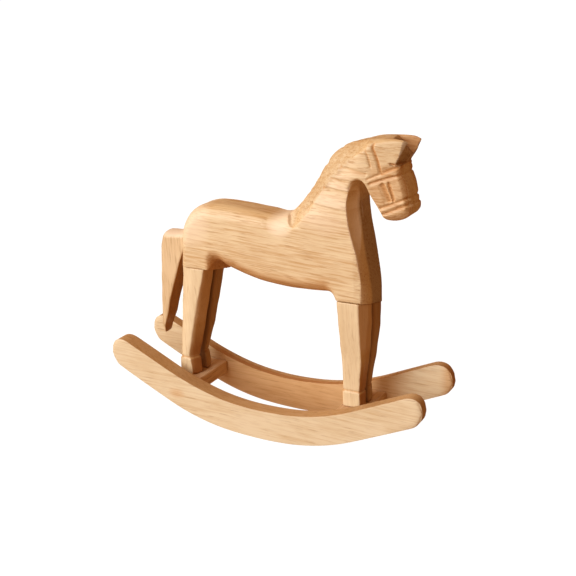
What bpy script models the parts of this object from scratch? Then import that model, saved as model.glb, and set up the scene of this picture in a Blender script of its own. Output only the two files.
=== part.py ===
"""Wooden rocking horse figurine, about 0.20 m long and 0.17 m high.

A flat, knife-carved horse stands on two cross slats that are let in between a
pair of curved rockers.  The horse faces +X, its left side is +Y, and the
origin is on the floor under the middle of the rockers.

Lengths are written in millimetres and turned into metres by MM where a mesh
is made.  Every piece is one closed solid.
"""

import math

import bmesh
import bpy
from mathutils import Matrix, Vector

MM = 0.001
GAP = 0.3                        # left between two pieces that are glued together

# ---- stand --------------------------------------------------------------------
LENGTH = 200.0                   # tip to tip of the rockers
STAND_WIDTH = 47.0               # outside to outside of the rockers
MIDDLE_RADIUS = 230.0            # of the lower edge where it stands on the floor,
MIDDLE_HALF = 17.0               # up to this far from the centre
ROCKER_RADIUS = 130.0            # of the lower edge from there on
ROCKER_BEND = math.radians(24.3)     # beyond this angle the edges run out straight
SWELL_AT = 60.0                  # a rocker's depth settles this far from the middle
ROCKER_DEPTH = {                 # upright depth behind, in the middle and in front
    "right": (19.9, 17.5, 17.6),
    "left": (20.0, 18.5, 19.4)}
ROCKER_THICK = {                 # thickness at the rear tip and at the front tip
    "right": (9.7, 7.2),
    "left": (6.4, 5.9)}
TIP_ROUND = {                    # radii of the lower and the upper corner of a tip
    "right": ((10.5, 8.2), (9.4, 6.8)),      # behind, in front
    "left": ((10.0, 8.4), (8.0, 8.8))}
ROCKER_EASE = 0.8                # eased long edges
ROCKER_STATIONS = 28             # along each edge, from tip to tip
WORN_FLAT = (8.2, 21.6)          # between these the lower edge is worn to one facet,
                                 # and the horse comes to rest on the front one

SLAT_TOP = 22.7                  # height of the surface that the hooves stand on
SLAT_THICK = 8.0
SLAT_WIDTH = 16.0
SLAT_AT = 53.2                   # distance of each slat's middle from the centre
SLAT_EASE = 0.5

# ---- body ---------------------------------------------------------------------
BODY_HALF = 12.0                 # half thickness of the block
ROUND_STEPS = 4                  # facets across a rounded edge
OUTLINE_STEP = 2.6               # distance between two points of the outline

# Side outline of the block.  Each knot is x, z, then how far the edge treatment
# reaches down the side and how far it reaches over the rim.
RUMP_AND_BACK = [
    (-52.0, 77.2, 2.0, 3.0), (-51.8, 91.2, 3.5, 4.5), (-51.7, 101.2, 5.6, 6.4),
    (-51.2, 110.6, 6.6, 7.0), (-48.8, 118.2, 7.0, 7.5), (-43.8, 124.4, 7.0, 8.0),
    (-36.4, 128.2, 7.0, 8.0), (-26.6, 129.5, 7.2, 8.0), (-13.0, 128.8, 7.5, 8.0),
    (2.0, 127.4, 7.0, 8.0), (11.0, 126.6, 7.5, 8.5), (17.6, 127.6, 8.5, 9.0)]
CREST = [
    (17.6, 127.6, 8.5, 9.0), (21.6, 131.1, 8.6, 10.5), (27.8, 138.7, 8.4, 10.8),
    (33.5, 147.0, 8.6, 10.8), (38.3, 154.5, 9.0, 10.8), (43.8, 161.0, 9.2, 10.6),
    (51.4, 165.8, 8.8, 10.4), (58.8, 168.4, 7.4, 9.6), (64.6, 169.4, 4.4, 7.6)]
HEAD_TOP = [
    (66.4, 169.6, 1.4, 4.6), (72.0, 170.1, 1.0, 3.4), (78.0, 170.3, 0.9, 2.6),
    (83.5, 170.1, 0.8, 2.0), (88.0, 169.2, 0.6, 1.0)]
EAR_FRONT = [
    (88.0, 169.2, 0.6, 1.0), (88.4, 167.6, 2.2, 1.8), (86.0, 163.4, 2.4, 2.0),
    (82.8, 159.2, 0.8, 1.0)]
FACE = [
    (82.8, 159.2, 0.8, 1.0), (82.9, 156.2, 0.8, 1.0), (83.6, 152.6, 0.9, 1.1),
    (85.2, 148.6, 1.0, 1.4), (86.3, 144.2, 1.1, 1.6), (86.9, 140.2, 1.1, 1.6),
    (87.7, 137.4, 1.2, 1.8), (87.5, 134.8, 1.4, 1.8)]
CHIN = [
    (87.5, 134.8, 1.4, 1.8), (85.6, 132.9, 1.6, 2.0), (82.6, 131.5, 1.6, 2.2),
    (79.0, 130.8, 1.6, 2.2), (75.6, 131.2, 1.2, 1.8), (74.2, 132.4, 0.8, 1.4)]
JAW_AND_THROAT = [
    (74.2, 132.4, 0.8, 1.4), (71.2, 137.8, 0.8, 1.2), (67.8, 143.0, 0.8, 1.2),
    (65.4, 146.8, 0.9, 1.4), (64.0, 148.6, 1.0, 2.0), (62.2, 149.6, 1.2, 2.4),
    (60.4, 149.3, 1.2, 2.4), (59.2, 147.8, 1.0, 2.0), (58.5, 145.2, 0.8, 1.2)]
CHEST = [
    (58.5, 145.2, 0.8, 1.2), (58.5, 140.2, 0.9, 1.0), (58.7, 133.2, 1.0, 1.2),
    (59.5, 120.2, 1.0, 1.2), (61.1, 108.2, 1.0, 1.6), (62.8, 98.2, 1.3, 2.2),
    (63.7, 90.2, 1.6, 2.6), (63.6, 83.2, 1.8, 2.6), (63.4, 73.2, 1.8, 2.6)]
SHOULDER_AND_BELLY = [
    (46.8, 73.2, 1.0, 1.0), (46.8, 82.8, 1.2, 1.6), (45.0, 86.2, 3.0, 4.0),
    (41.8, 88.2, 5.4, 6.0), (36.0, 87.8, 5.6, 7.0), (27.0, 87.4, 5.6, 7.0),
    (17.0, 87.4, 5.6, 7.0), (7.0, 88.0, 5.8, 7.0), (-2.0, 89.2, 6.0, 7.0),
    (-11.0, 91.1, 6.4, 7.0), (-18.0, 93.1, 6.8, 7.0), (-23.0, 95.1, 6.4, 6.6),
    (-26.6, 96.7, 5.0, 5.0), (-29.2, 96.8, 2.6, 2.8), (-31.0, 95.0, 0.9, 1.2),
    (-32.6, 90.2, 0.8, 1.2), (-33.2, 77.2, 0.8, 1.2)]
# How full each stretch's edge is: 0 leaves a flat chamfer, 1 a quarter round.
STRETCHES = [
    (RUMP_AND_BACK, 1.0), (CREST, 0.15), (HEAD_TOP, 0.8), (EAR_FRONT, 0.5), (FACE, 0.5),
    (CHIN, 0.8), (JAW_AND_THROAT, 0.8), (CHEST, 0.5), (SHOULDER_AND_BELLY, 1.0)]

HEAD_TAPER_FROM = 58.0           # the sides of the head close in from here
HEAD_TAPER = 0.154               # by this much for each millimetre of length

CRESCENT_AT = (58.9, 132.2)      # hollows in the edges of the breast: deepest here,
CRESCENT_DEPTH = {"right": 3.3, "left": 1.4}
CRESCENT_UP = 14.0               # fading out this far above
CRESCENT_DOWN = 24.0             # and this far below
CRESCENT_TURN = math.radians(26.0)   # how far they are turned to the side
CRESCENT_LEAN = 0.09             # how much further forward they start lower down

NOTCH_BACK = (73.0, 173.2)       # floor of the V between the ears, behind and in front
NOTCH_FRONT = (92.0, 162.2)
NOTCH_SLOPE = 0.95               # rise of the V's sides for each millimetre across

GOUGE_LOW = (25.4, 12.3, 121.8)  # round cut beside the root of the mane
GOUGE_HIGH = (20.4, 5.2, 129.4)
GOUGE_RADIUS = 3.6
GOUGE_BITE = 0.9

SEAM_SLOPE = 0.25                # the legs are glued on along slanted cuts
HIND_SEAM = 88.7                 # height of each cut in the middle of the horse
FRONT_SEAM = 82.3

# ---- bridle, eyes and muzzle: straight V cuts on the cheeks ----------------------
# Each cut is its two ends on the side of the head (x, z) and its depth.
CHEEK_CUTS = [
    ((65.6, 165.0), (68.6, 156.4), 0.55),        # back edge of the cheek strap
    ((69.4, 167.8), (73.6, 154.4), 0.95),        # front edge of the cheek strap
    ((65.4, 150.8), (82.6, 157.8), 0.75),        # upper nose strap
    ((65.8, 148.0), (84.4, 154.2), 0.85),
    ((72.6, 136.4), (87.4, 142.4), 0.75),        # lower nose strap
    ((73.6, 133.8), (87.6, 139.2), 0.80),
    ((74.6, 149.6), (78.8, 139.8), 0.90),        # folds between the straps
    ((72.4, 148.6), (75.6, 138.4), 0.90)]
EYE_CUT = ((77.4, 159.1), (83.4, 158.2), 1.1)
# Cuts that go on across the front of the face: height and depth.
FACE_CUTS = [(156.8, 0.7), (153.5, 0.7), (141.8, 0.7), (138.6, 0.7)]

# ---- legs -----------------------------------------------------------------------
# Stations of a leg from the body down: height, back, front, inner side, outer side,
# the long chamfer behind (along x, along y) and the short chamfers of the other
# corners.  The station at the top is moved onto the slanted seam.
HIND_LEG = [
    (91.2, -52.4, -35.0, 1.0, 11.2, 7.8, 3.0, 1.2),
    (70.7, -55.4, -40.2, 1.3, 10.2, 6.8, 2.6, 1.2),
    (51.2, -58.0, -44.6, 1.8, 9.3, 5.2, 2.0, 1.2),
    (37.7, -59.8, -47.7, 2.2, 8.8, 3.8, 1.5, 1.2),
    (34.8, -60.0, -48.3, 2.4, 8.5, 3.4, 1.4, 1.2),
    (33.6, -60.2, -48.5, 2.4, 8.5, 3.4, 1.6, 1.3),
    (31.4, -61.4, -48.0, 2.2, 8.9, 3.8, 2.2, 1.4),
    (26.2, -61.9, -47.8, 2.2, 9.1, 4.0, 2.4, 1.6),
    (23.0, -60.2, -48.8, 2.8, 8.2, 3.2, 2.0, 1.8)]
FRONT_LEG = [
    (86.2, 46.8, 63.2, 0.5, 11.9, 1.2, 1.2, 1.6),
    (75.2, 47.4, 63.0, 0.5, 11.9, 1.2, 1.2, 1.5),
    (66.2, 47.6, 62.5, 0.5, 11.3, 1.2, 1.2, 1.3),
    (51.2, 47.6, 60.8, 0.6, 9.3, 1.2, 1.2, 1.1),
    (40.2, 47.2, 59.0, 0.8, 8.3, 1.2, 1.1, 1.0),
    (34.2, 46.9, 58.4, 1.2, 7.9, 1.1, 1.0, 1.0),
    (32.6, 47.3, 58.1, 1.3, 7.6, 1.1, 1.0, 0.9),
    (31.0, 46.7, 58.4, 1.2, 8.0, 1.2, 1.1, 1.0),
    (23.0, 46.4, 58.3, 1.3, 7.9, 1.2, 1.1, 1.0)]

# ---- tail -----------------------------------------------------------------------
# Stations from the root down the tail's own line: the back edge, the front edge
# (each x, z) and half its thickness.
TAIL = [
    ((-61.6, 110.6), (-52.2, 110.8), 3.0),
    ((-65.0, 109.0), (-52.1, 108.2), 5.2),
    ((-67.6, 105.6), (-52.0, 104.0), 5.9),
    ((-69.5, 100.2), (-52.4, 100.0), 6.0),
    ((-71.0, 91.2), (-56.4, 91.8), 6.0),
    ((-72.3, 79.2), (-61.4, 78.8), 5.8),
    ((-73.7, 67.2), (-65.4, 68.4), 5.4),
    ((-74.9, 56.8), (-68.2, 57.4), 5.0),
    ((-76.0, 49.2), (-71.4, 49.8), 4.2),
    ((-76.4, 45.4), (-74.0, 45.4), 2.8)]
TAIL_EASE = 0.34                 # chamfer of the tail's edges, part of its half width

COLOURS = {                      # linear base colour and roughness of each piece
    "body": ((0.78, 0.52, 0.27), 0.55),
    "leg": ((0.84, 0.61, 0.35), 0.55),
    "tail": ((0.80, 0.54, 0.29), 0.55),
    "rocker": ((0.82, 0.58, 0.33), 0.55),
    "slat": ((0.70, 0.44, 0.22), 0.60)}


# ---- helpers --------------------------------------------------------------------

def clear_scene():
    for old in list(bpy.data.objects):
        bpy.data.objects.remove(old, do_unlink=True)


def wood(name, kind):
    """The plain finish of one piece."""
    colour, roughness = COLOURS[kind]
    material = bpy.data.materials.new("wood_" + name)
    material.use_nodes = True
    shader = material.node_tree.nodes["Principled BSDF"]
    shader.inputs["Base Color"].default_value = (*colour, 1.0)
    shader.inputs["Roughness"].default_value = roughness
    shader.inputs["Metallic"].default_value = 0.0
    material.diffuse_color = (*colour, 1.0)
    return material


def add_object(name, shape, kind=None):
    """Turn a bmesh in millimetres into an object in metres."""
    bmesh.ops.recalc_face_normals(shape, faces=shape.faces)
    bmesh.ops.scale(shape, vec=(MM, MM, MM), verts=shape.verts)
    mesh = bpy.data.meshes.new(name)
    shape.to_mesh(mesh)
    shape.free()
    thing = bpy.data.objects.new(name, mesh)
    bpy.context.scene.collection.objects.link(thing)
    if kind:
        mesh.materials.append(wood(name, kind))
    return thing


def spline(knots, step):
    """Points about step apart on a smooth curve through the knots."""
    points = []
    last = len(knots) - 1
    for i in range(last):
        before = knots[max(i - 1, 0)]
        start, end = knots[i], knots[i + 1]
        after = knots[min(i + 2, last)]
        chord = math.dist(start[:2], end[:2])
        count = max(1, round(chord / step))
        for k in range(count):
            t = k / count
            points.append(tuple(catmull(a, b, c, d, t)
                                for a, b, c, d in zip(before, start, end, after)))
    points.append(tuple(knots[-1]))
    return points


def catmull(a, b, c, d, t):
    """One coordinate of a Catmull-Rom curve between b and c."""
    return 0.5 * (2 * b + (c - a) * t + (2 * a - 5 * b + 4 * c - d) * t ** 2
                  + (3 * b - a - 3 * c + d) * t ** 3)


def joined(stretches):
    """One closed list from stretches whose ends may repeat a point."""
    points = []
    for stretch in stretches:
        for point in stretch:
            if not points or math.dist(point[:2], points[-1][:2]) > 0.4:
                points.append(point)
    if math.dist(points[0][:2], points[-1][:2]) < 0.4:
        points.pop()
    return points


def outward(points):
    """Unit normals of a closed outline that runs clockwise seen from -Y."""
    normals = []
    for i, point in enumerate(points):
        before, after = points[i - 1], points[(i + 1) % len(points)]
        arrive = Vector((point[0] - before[0], point[1] - before[1])).normalized()
        leave = Vector((after[0] - point[0], after[1] - point[1])).normalized()
        along = (arrive + leave).normalized()
        normals.append(Vector((-along.y, along.x)))
    return normals


def loft(rings):
    """A closed solid through rings of points, with its two ends filled."""
    shape = bmesh.new()
    loops = [[shape.verts.new(point) for point in ring] for ring in rings]
    count = len(loops[0])
    for low, high in zip(loops, loops[1:]):
        for i in range(count):
            j = (i + 1) % count
            shape.faces.new((low[i], low[j], high[j], high[i]))
    shape.faces.new(list(reversed(loops[0])))
    shape.faces.new(loops[-1])
    return shape


def ease_edges(thing, width, angle=40.0):
    """Chamfer the edges of a finished piece."""
    bevel = thing.modifiers.new("eased edges", "BEVEL")
    bevel.width = width * MM
    bevel.segments = 1
    bevel.limit_method = "ANGLE"
    bevel.angle_limit = math.radians(angle)


def cut(thing, cutter):
    """Take the cutter's shape away from a piece."""
    cutter.hide_render = True
    cutter.display_type = "WIRE"
    boolean = thing.modifiers.new(cutter.name, "BOOLEAN")
    boolean.operation = "DIFFERENCE"
    boolean.solver = "EXACT"
    boolean.object = cutter


# ---- rockers and slats ------------------------------------------------------------

def rocker_height(x):
    """Height of the rocker's lower edge above the floor at x."""
    x = abs(x)
    if x <= MIDDLE_HALF:
        return MIDDLE_RADIUS - math.sqrt(MIDDLE_RADIUS ** 2 - x ** 2)
    turn = math.asin(MIDDLE_HALF / MIDDLE_RADIUS)
    bend = MIDDLE_HALF + ROCKER_RADIUS * (math.sin(ROCKER_BEND) - math.sin(turn))
    reach = min(x, bend) - MIDDLE_HALF
    angle = math.asin(math.sin(turn) + reach / ROCKER_RADIUS)
    height = MIDDLE_RADIUS * (1 - math.cos(turn))
    height += ROCKER_RADIUS * (math.cos(turn) - math.cos(angle))
    return height + max(0.0, x - bend) * math.tan(ROCKER_BEND)


def rocker_top(x, tag):
    """Height of the rocker's upper edge: each was sawn a little differently."""
    rear, middle, front = ROCKER_DEPTH[tag]
    share = min(1.0, abs(x) / SWELL_AT)
    share = share * share * (3 - 2 * share)
    return rocker_height(x) + middle + ((front if x > 0 else rear) - middle) * share


def rocker_inner(x, tag):
    """Distance of the rocker's inner face from the middle of the stand."""
    rear, front = ROCKER_THICK[tag]
    return STAND_WIDTH / 2 - rear - (front - rear) * (x / LENGTH + 0.5)


def fillet(corner, back, ahead, radius, steps):
    """Points of an arc of this radius that rounds a corner between two others."""
    corner, back, ahead = Vector(corner), Vector(back), Vector(ahead)
    to_back = (back - corner).normalized()
    to_ahead = (ahead - corner).normalized()
    half = to_back.angle(to_ahead) / 2
    centre = corner + (to_back + to_ahead).normalized() * (radius / math.sin(half))
    start = corner + to_back * (radius / math.tan(half)) - centre
    end = corner + to_ahead * (radius / math.tan(half)) - centre
    turn = start.angle_signed(end)
    return [tuple(centre + Matrix.Rotation(-turn * k / steps, 2) @ start)
            for k in range(steps + 1)]


def rocker_tip(end, tag, rounds):
    """Points down the front tip, or up the rear one, from one edge to the other."""
    low, high = rocker_height(end), rocker_top(end, tag)
    inward = end * 0.8
    round_low, round_high = rounds
    top = fillet((end, high), (inward, rocker_top(inward, tag)), (end, low), round_high, 5)
    foot = fillet((end, low), (end, high), (inward, rocker_height(inward)), round_low, 5)
    return top + foot


def lower_stations(start, end):
    """Stations along the lower edge, with none inside the two worn facets."""
    flat_from, flat_to = WORN_FLAT
    step = abs(end - start) / ROCKER_STATIONS
    clear = (flat_from - step / 2, flat_to + step / 2)
    stations = [start + (end - start) * k / ROCKER_STATIONS for k in range(1, ROCKER_STATIONS)]
    stations = [x for x in stations if not clear[0] < abs(x) < clear[1]]
    stations += [-flat_to, -flat_from, flat_from, flat_to]
    return sorted(stations, reverse=start > end)


def rocker_outline(tag):
    """Outline of a rocker, clockwise seen from -Y, starting at its front tip."""
    round_rear, round_front = TIP_ROUND[tag]
    front = rocker_tip(LENGTH / 2, tag, round_front)
    rear = rocker_tip(-LENGTH / 2, tag, round_rear)
    rear.reverse()
    lower = [(x, rocker_height(x)) for x in lower_stations(front[-1][0], rear[0][0])]
    upper = []
    for k in range(1, ROCKER_STATIONS):
        x = rear[-1][0] + (front[0][0] - rear[-1][0]) * k / ROCKER_STATIONS
        upper.append((x, rocker_top(x, tag)))
    return front + lower + rear + upper


def make_rocker(name, side, tag):
    outline = rocker_outline(tag)
    inner = [(x, side * rocker_inner(x, tag), z) for x, z in outline]
    outer = [(x, side * STAND_WIDTH / 2, z) for x, z in outline]
    rocker = add_object(name, loft([inner, outer]), "rocker")
    ease_edges(rocker, ROCKER_EASE, 60.0)
    return rocker


def make_slat(name, middle):
    """A cross slat, cut to length between the rockers."""
    rings = []
    for z in (SLAT_TOP - SLAT_THICK, SLAT_TOP):
        ring = []
        for x in (middle - SLAT_WIDTH / 2, middle + SLAT_WIDTH / 2):
            ends = [(x, GAP - rocker_inner(x, "right"), z), (x, rocker_inner(x, "left") - GAP, z)]
            ring += ends if not ring else reversed(ends)
        rings.append(ring)
    slat = add_object(name, loft(rings), "slat")
    ease_edges(slat, SLAT_EASE)
    return slat


# ---- legs and tail ------------------------------------------------------------------

def leg_ring(station, side, seam=None):
    """Eight corners of a leg's section, with a long chamfer at the outer back."""
    height, back, front, inner, outer, long_x, long_y, short = station
    corners = [
        (back + short, inner), (front - short, inner),
        (front, inner + short), (front, outer - short),
        (front - short, outer), (back + long_x, outer),
        (back, outer - long_y), (back, inner + short)]
    ring = []
    for x, y in corners:
        z = height if seam is None else seam - SEAM_SLOPE * side * y - GAP
        ring.append((x, side * y, z))
    return ring


def make_leg(name, stations, side, seam):
    rings = [leg_ring(station, side, seam if i == 0 else None)
             for i, station in enumerate(stations)]
    return add_object(name, loft(rings), "leg")


def make_tail():
    rings = []
    for back, front, half in TAIL:
        back, front = Vector(back), Vector(front)
        ease = half * TAIL_EASE
        along = (front - back).normalized() * ease
        ring = []
        for rim, y in ((back + along, -half), (front - along, -half),
                       (front, ease - half), (front, half - ease),
                       (front - along, half), (back + along, half),
                       (back, half - ease), (back, ease - half)):
            ring.append((rim.x, y, rim.y))
        rings.append(ring)
    return add_object("tail", loft(rings), "tail")


# ---- body ------------------------------------------------------------------------------

def body_outline():
    """Points of the block's outline: x, z, reach down, reach over, fullness."""
    return joined([point + (full,) for point in spline(knots, OUTLINE_STEP)]
                  for knots, full in STRETCHES)


def body_block():
    """The sawn block with its edges worked, still with straight sides."""
    outline = body_outline()
    normals = outward(outline)
    half_rings = []
    for k in range(ROUND_STEPS + 1):
        turn = math.pi / 2 * k / ROUND_STEPS
        part = k / ROUND_STEPS
        ring = []
        for (x, z, side, rim, full), normal in zip(outline, normals):
            inset = side * (full * (1 - math.sin(turn)) + (1 - full) * (1 - part))
            over = rim * (full * (1 - math.cos(turn)) + (1 - full) * part)
            ring.append((x - normal.x * inset, BODY_HALF - over, z - normal.y * inset))
        half_rings.append(ring)
    rings = [[(x, -y, z) for x, y, z in ring] for ring in half_rings]
    rings += list(reversed(half_rings))
    return add_object("body", loft(rings), "body")


def seam_cutter(name, x_from, x_to, seam):
    """All that lies below the slanted cut under one pair of legs."""
    reach = BODY_HALF + 4.0
    rings = []
    for x in (x_from, x_to):
        rings.append([(x, -reach, seam + SEAM_SLOPE * reach),
                      (x, reach, seam - SEAM_SLOPE * reach),
                      (x, reach, seam - 40.0), (x, -reach, seam - 40.0)])
    return add_object(name, loft(rings))


def taper_cutter(name, side):
    """What is planed off one side of the head."""
    start, end = HEAD_TAPER_FROM, HEAD_TAPER_FROM + 40.0
    shape = [(start, BODY_HALF), (end, BODY_HALF - HEAD_TAPER * (end - start)),
             (end, BODY_HALF + 6.0), (start, BODY_HALF + 6.0)]
    rings = [[(x, side * y, z) for x, y in shape] for z in (111.0, 181.0)]
    return add_object(name, loft(rings))


def crescent_cutter(name, side, depth):
    """A shallow lens that hollows one edge of the breast and fades at both ends."""
    outside = Vector((math.cos(CRESCENT_TURN), side * math.sin(CRESCENT_TURN), 0.0))
    across = Vector((math.sin(CRESCENT_TURN), -side * math.cos(CRESCENT_TURN), 0.0))
    steps = 20
    line = []
    for k in range(steps + 1):
        rise = -CRESCENT_DOWN + (CRESCENT_DOWN + CRESCENT_UP) * k / steps
        part = rise / CRESCENT_UP if rise > 0 else -rise / CRESCENT_DOWN
        line.append((-depth * (1 - part ** 1.5), rise))
    line += [(2.0, CRESCENT_UP), (2.0, -CRESCENT_DOWN)]
    middle = Vector((CRESCENT_AT[0], side * BODY_HALF, CRESCENT_AT[1]))
    rings = [[tuple(middle + across * reach + outside * out
                    + Vector((-CRESCENT_LEAN * rise, 0.0, rise)))
              for out, rise in line] for reach in (-5.0, 8.5)]
    return add_object(name, loft(rings))


def ear_notch_cutter():
    """The V that parts the ears, deeper towards the forehead."""
    rings = []
    for x, floor in (NOTCH_BACK, NOTCH_FRONT):
        top = 182.0
        reach = (top - floor) / NOTCH_SLOPE
        rings.append([(x, 0.0, floor), (x, reach, top), (x, -reach, top)])
    return add_object("cut_between_ears", loft(rings))


def side_y(x):
    """Half thickness of the horse at x, where the head closes in."""
    return BODY_HALF - HEAD_TAPER * max(0.0, x - HEAD_TAPER_FROM)


def v_cutter(name, start, end, depth):
    """A bar with a square section on edge, half sunk along the line of a V cut."""
    start, end = Vector(start), Vector(end)
    along = (end - start).normalized()
    out = Vector((0.0, 1.0, 0.0)) if abs(start.y) > 1.0 and start.y * end.y > 0 else Vector((1, 0, 0))
    if start.y < 0 and end.y < 0:
        out = -out
    up = along.cross(out).normalized()
    rings = [[tuple(point + up * depth), tuple(point + out * depth),
              tuple(point - up * depth), tuple(point - out * depth)]
             for point in (start, end)]
    return add_object(name, loft(rings))


def gouge_cutter(name, side):
    """A round gouge's cut from the back down to the side, at the root of the mane."""
    low, high = (Vector((x, side * y, z)) for x, y, z in (GOUGE_LOW, GOUGE_HIGH))
    along = (high - low).normalized()
    outside = Vector((0.0, side, 1.0)).normalized()
    shape = bmesh.new()
    bmesh.ops.create_cone(shape, cap_ends=True, segments=20, radius1=GOUGE_RADIUS,
                          radius2=GOUGE_RADIUS, depth=(high - low).length + 2.0)
    turn = Vector((0, 0, 1)).rotation_difference(along).to_matrix()
    bmesh.ops.rotate(shape, matrix=turn, verts=shape.verts)
    middle = (low + high) / 2 + outside * (GOUGE_RADIUS - GOUGE_BITE)
    bmesh.ops.translate(shape, vec=middle, verts=shape.verts)
    return add_object(name, shape)


def make_body():
    body = body_block()
    cut(body, seam_cutter("cut_hind_seam", -60.0, -20.0, HIND_SEAM))
    cut(body, seam_cutter("cut_front_seam", 46.0, 70.0, FRONT_SEAM))
    cut(body, ear_notch_cutter())
    for side, tag in ((-1, "right"), (1, "left")):
        cut(body, taper_cutter("cut_taper_" + tag, side))
        cut(body, crescent_cutter("cut_crescent_" + tag, side, CRESCENT_DEPTH[tag]))
        cut(body, gouge_cutter("cut_gouge_" + tag, side))
        for i, (start, end, depth) in enumerate(CHEEK_CUTS + [EYE_CUT]):
            ends = [(x, side * side_y(x), z) for x, z in (start, end)]
            cut(body, v_cutter("cut_cheek_%s_%d" % (tag, i), *ends, depth))
    for i, (height, depth) in enumerate(FACE_CUTS):
        front = face_x(height)
        cut(body, v_cutter("cut_face_%d" % i, (front, -9.0, height), (front, 9.0, height), depth))
    return body


def face_x(height):
    """Where the profile of the face is at one height."""
    points = spline(FACE, 1.0)
    return min(points, key=lambda point: abs(point[1] - height))[0]


def main():
    clear_scene()
    make_body()
    make_tail()
    for side, tag in ((-1, "right"), (1, "left")):
        make_leg("leg_hind_" + tag, HIND_LEG, side, HIND_SEAM)
        make_leg("leg_front_" + tag, FRONT_LEG, side, FRONT_SEAM)
        make_rocker("rocker_" + tag, side, tag)
    make_slat("slat_front", SLAT_AT)
    make_slat("slat_rear", -SLAT_AT)


main()
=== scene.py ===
import math

import bpy
import numpy as np
from mathutils import Euler, Matrix, Vector, noise


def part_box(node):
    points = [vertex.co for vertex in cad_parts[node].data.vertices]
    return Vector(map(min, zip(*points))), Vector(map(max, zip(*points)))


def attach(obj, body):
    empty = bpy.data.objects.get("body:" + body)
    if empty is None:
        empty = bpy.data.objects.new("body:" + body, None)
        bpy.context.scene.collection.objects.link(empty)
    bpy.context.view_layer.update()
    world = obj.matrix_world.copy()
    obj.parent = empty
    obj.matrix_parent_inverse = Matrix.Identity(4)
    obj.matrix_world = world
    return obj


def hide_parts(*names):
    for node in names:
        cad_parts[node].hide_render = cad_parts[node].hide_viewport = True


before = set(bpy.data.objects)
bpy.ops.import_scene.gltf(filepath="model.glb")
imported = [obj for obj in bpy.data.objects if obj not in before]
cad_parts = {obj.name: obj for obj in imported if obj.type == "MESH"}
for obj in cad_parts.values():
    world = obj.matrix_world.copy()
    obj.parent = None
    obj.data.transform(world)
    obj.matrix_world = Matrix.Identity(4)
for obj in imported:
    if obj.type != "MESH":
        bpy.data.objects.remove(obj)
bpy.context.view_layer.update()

# A knife-carved wooden horse on rockers.  The horse faces +X and its left side is
# +Y.  Shapes are worked out in millimetres, and MM turns them into metres when a
# mesh is made.  The horse, its legs and its tail are carved: a field tells for every
# point how deep it lies in the wood, each cut of the knife takes the smaller of two
# depths, and skin() makes the mesh where the depth is nought.
MM = 0.001

# ---- the stand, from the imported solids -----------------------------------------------


def node_box(name):
    """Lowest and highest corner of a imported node, in millimetres."""
    low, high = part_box(name)
    return np.array(low) / MM, np.array(high) / MM


MIDDLE_RADIUS = 230.0            # of a rocker's lower edge where it stands,
MIDDLE_HALF = 17.0               # this far to both sides of the centre
ROCKER_RADIUS = 130.0            # of the lower edge from there on
ROCKER_BEND = 24.3               # degrees, beyond which the edges run out straight
SWELL_AT = 60.0                  # a rocker's depth settles this far from the middle
ROCKER_DEPTH = {                 # upright depth behind, in the middle and in front
    "right": (19.9, 17.5, 17.6),
    "left": (20.0, 18.5, 19.4)}
ROCKER_THICK = {                 # thickness at the rear tip and at the front tip
    "right": (9.7, 7.2),
    "left": (6.4, 5.9)}
TIP_ROUND = {                    # radii of the lower and the upper corner of a tip
    "right": ((9.0, 9.6), (9.4, 6.8)),       # behind, in front
    "left": ((8.8, 9.6), (8.0, 8.8))}
TIP_EASE = 4.2                   # at the tips the flat sides roll over, from this far in,
TIP_THINNING = 1.0               # by this much
TIP_EDGE_SHARE = 0.9             # near a tip the long edges roll over by this share,
TIP_EDGE_FADE = (1.2, 5.0)       # down to none at 1.2 times 5 eases from its end
LEAST_LEFT = 0.999               # so that a tip's rim never closes to a crease
ROCKER_EASE = 1.1                # radius of the worn long edges,
ROCKER_EASE_STEPS = 3            # in so many facets,
ROCKER_SHARP = 50.0              # where two faces turn by more degrees than this
ROCKER_ROWS = (321, 9, 25)       # corners of the mesh along, across and upright

# A fade is where something begins and how much further on it is complete; where the
# second number is below 0, it grows the other way.
TIP_TINT = {"right": 0.12, "left": 0.55}     # the front tips are darker
TIP_TINT_FADE = (91.0, 6.0)
UNDER_HORSE_SHADE = 0.8               # and painted shade on the left rocker's inner face between the slats, under the horse
UNDER_HORSE_SHADE_FADES = ((-66.0, 20.0), (84.0, -26.0))
UNDER_HORSE_SHADE_INSIDE = 21.0            # that face lies inside this y
KNOT_TINT = 0.5                  # and a knot in the right rocker
KNOT_AT = (-54.0, 17.0)          # its x and z
KNOT_SIZE = (8.0, 4.6)

# ---- the block that the horse is carved from -----------------------------------------
BODY_HALF = 12.0
BODY_STEP = 0.70                 # mesh size on the trunk and, finer, on the head
HEAD_STEP = 0.38
HEAD_FROM = (54.0, 126.0)        # x and z from which the mesh is fine
ACROSS_STEP = 1.2                # times the fine step, from side to side
BODY_MARGIN = 2.0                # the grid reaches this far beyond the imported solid
OUTLINE_STEP = 0.5               # between the points of the side outline
KNIFE_ROUND = 0.3                # how round the edge between two cuts is
FAR = 99.0                       # a depth that leaves the wood as it is
OUTLINE_LEAST = 0.1              # points of the outline that lie closer are dropped
SPOTS_AT_ONCE = 4000             # places measured against the outline in one go

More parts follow.
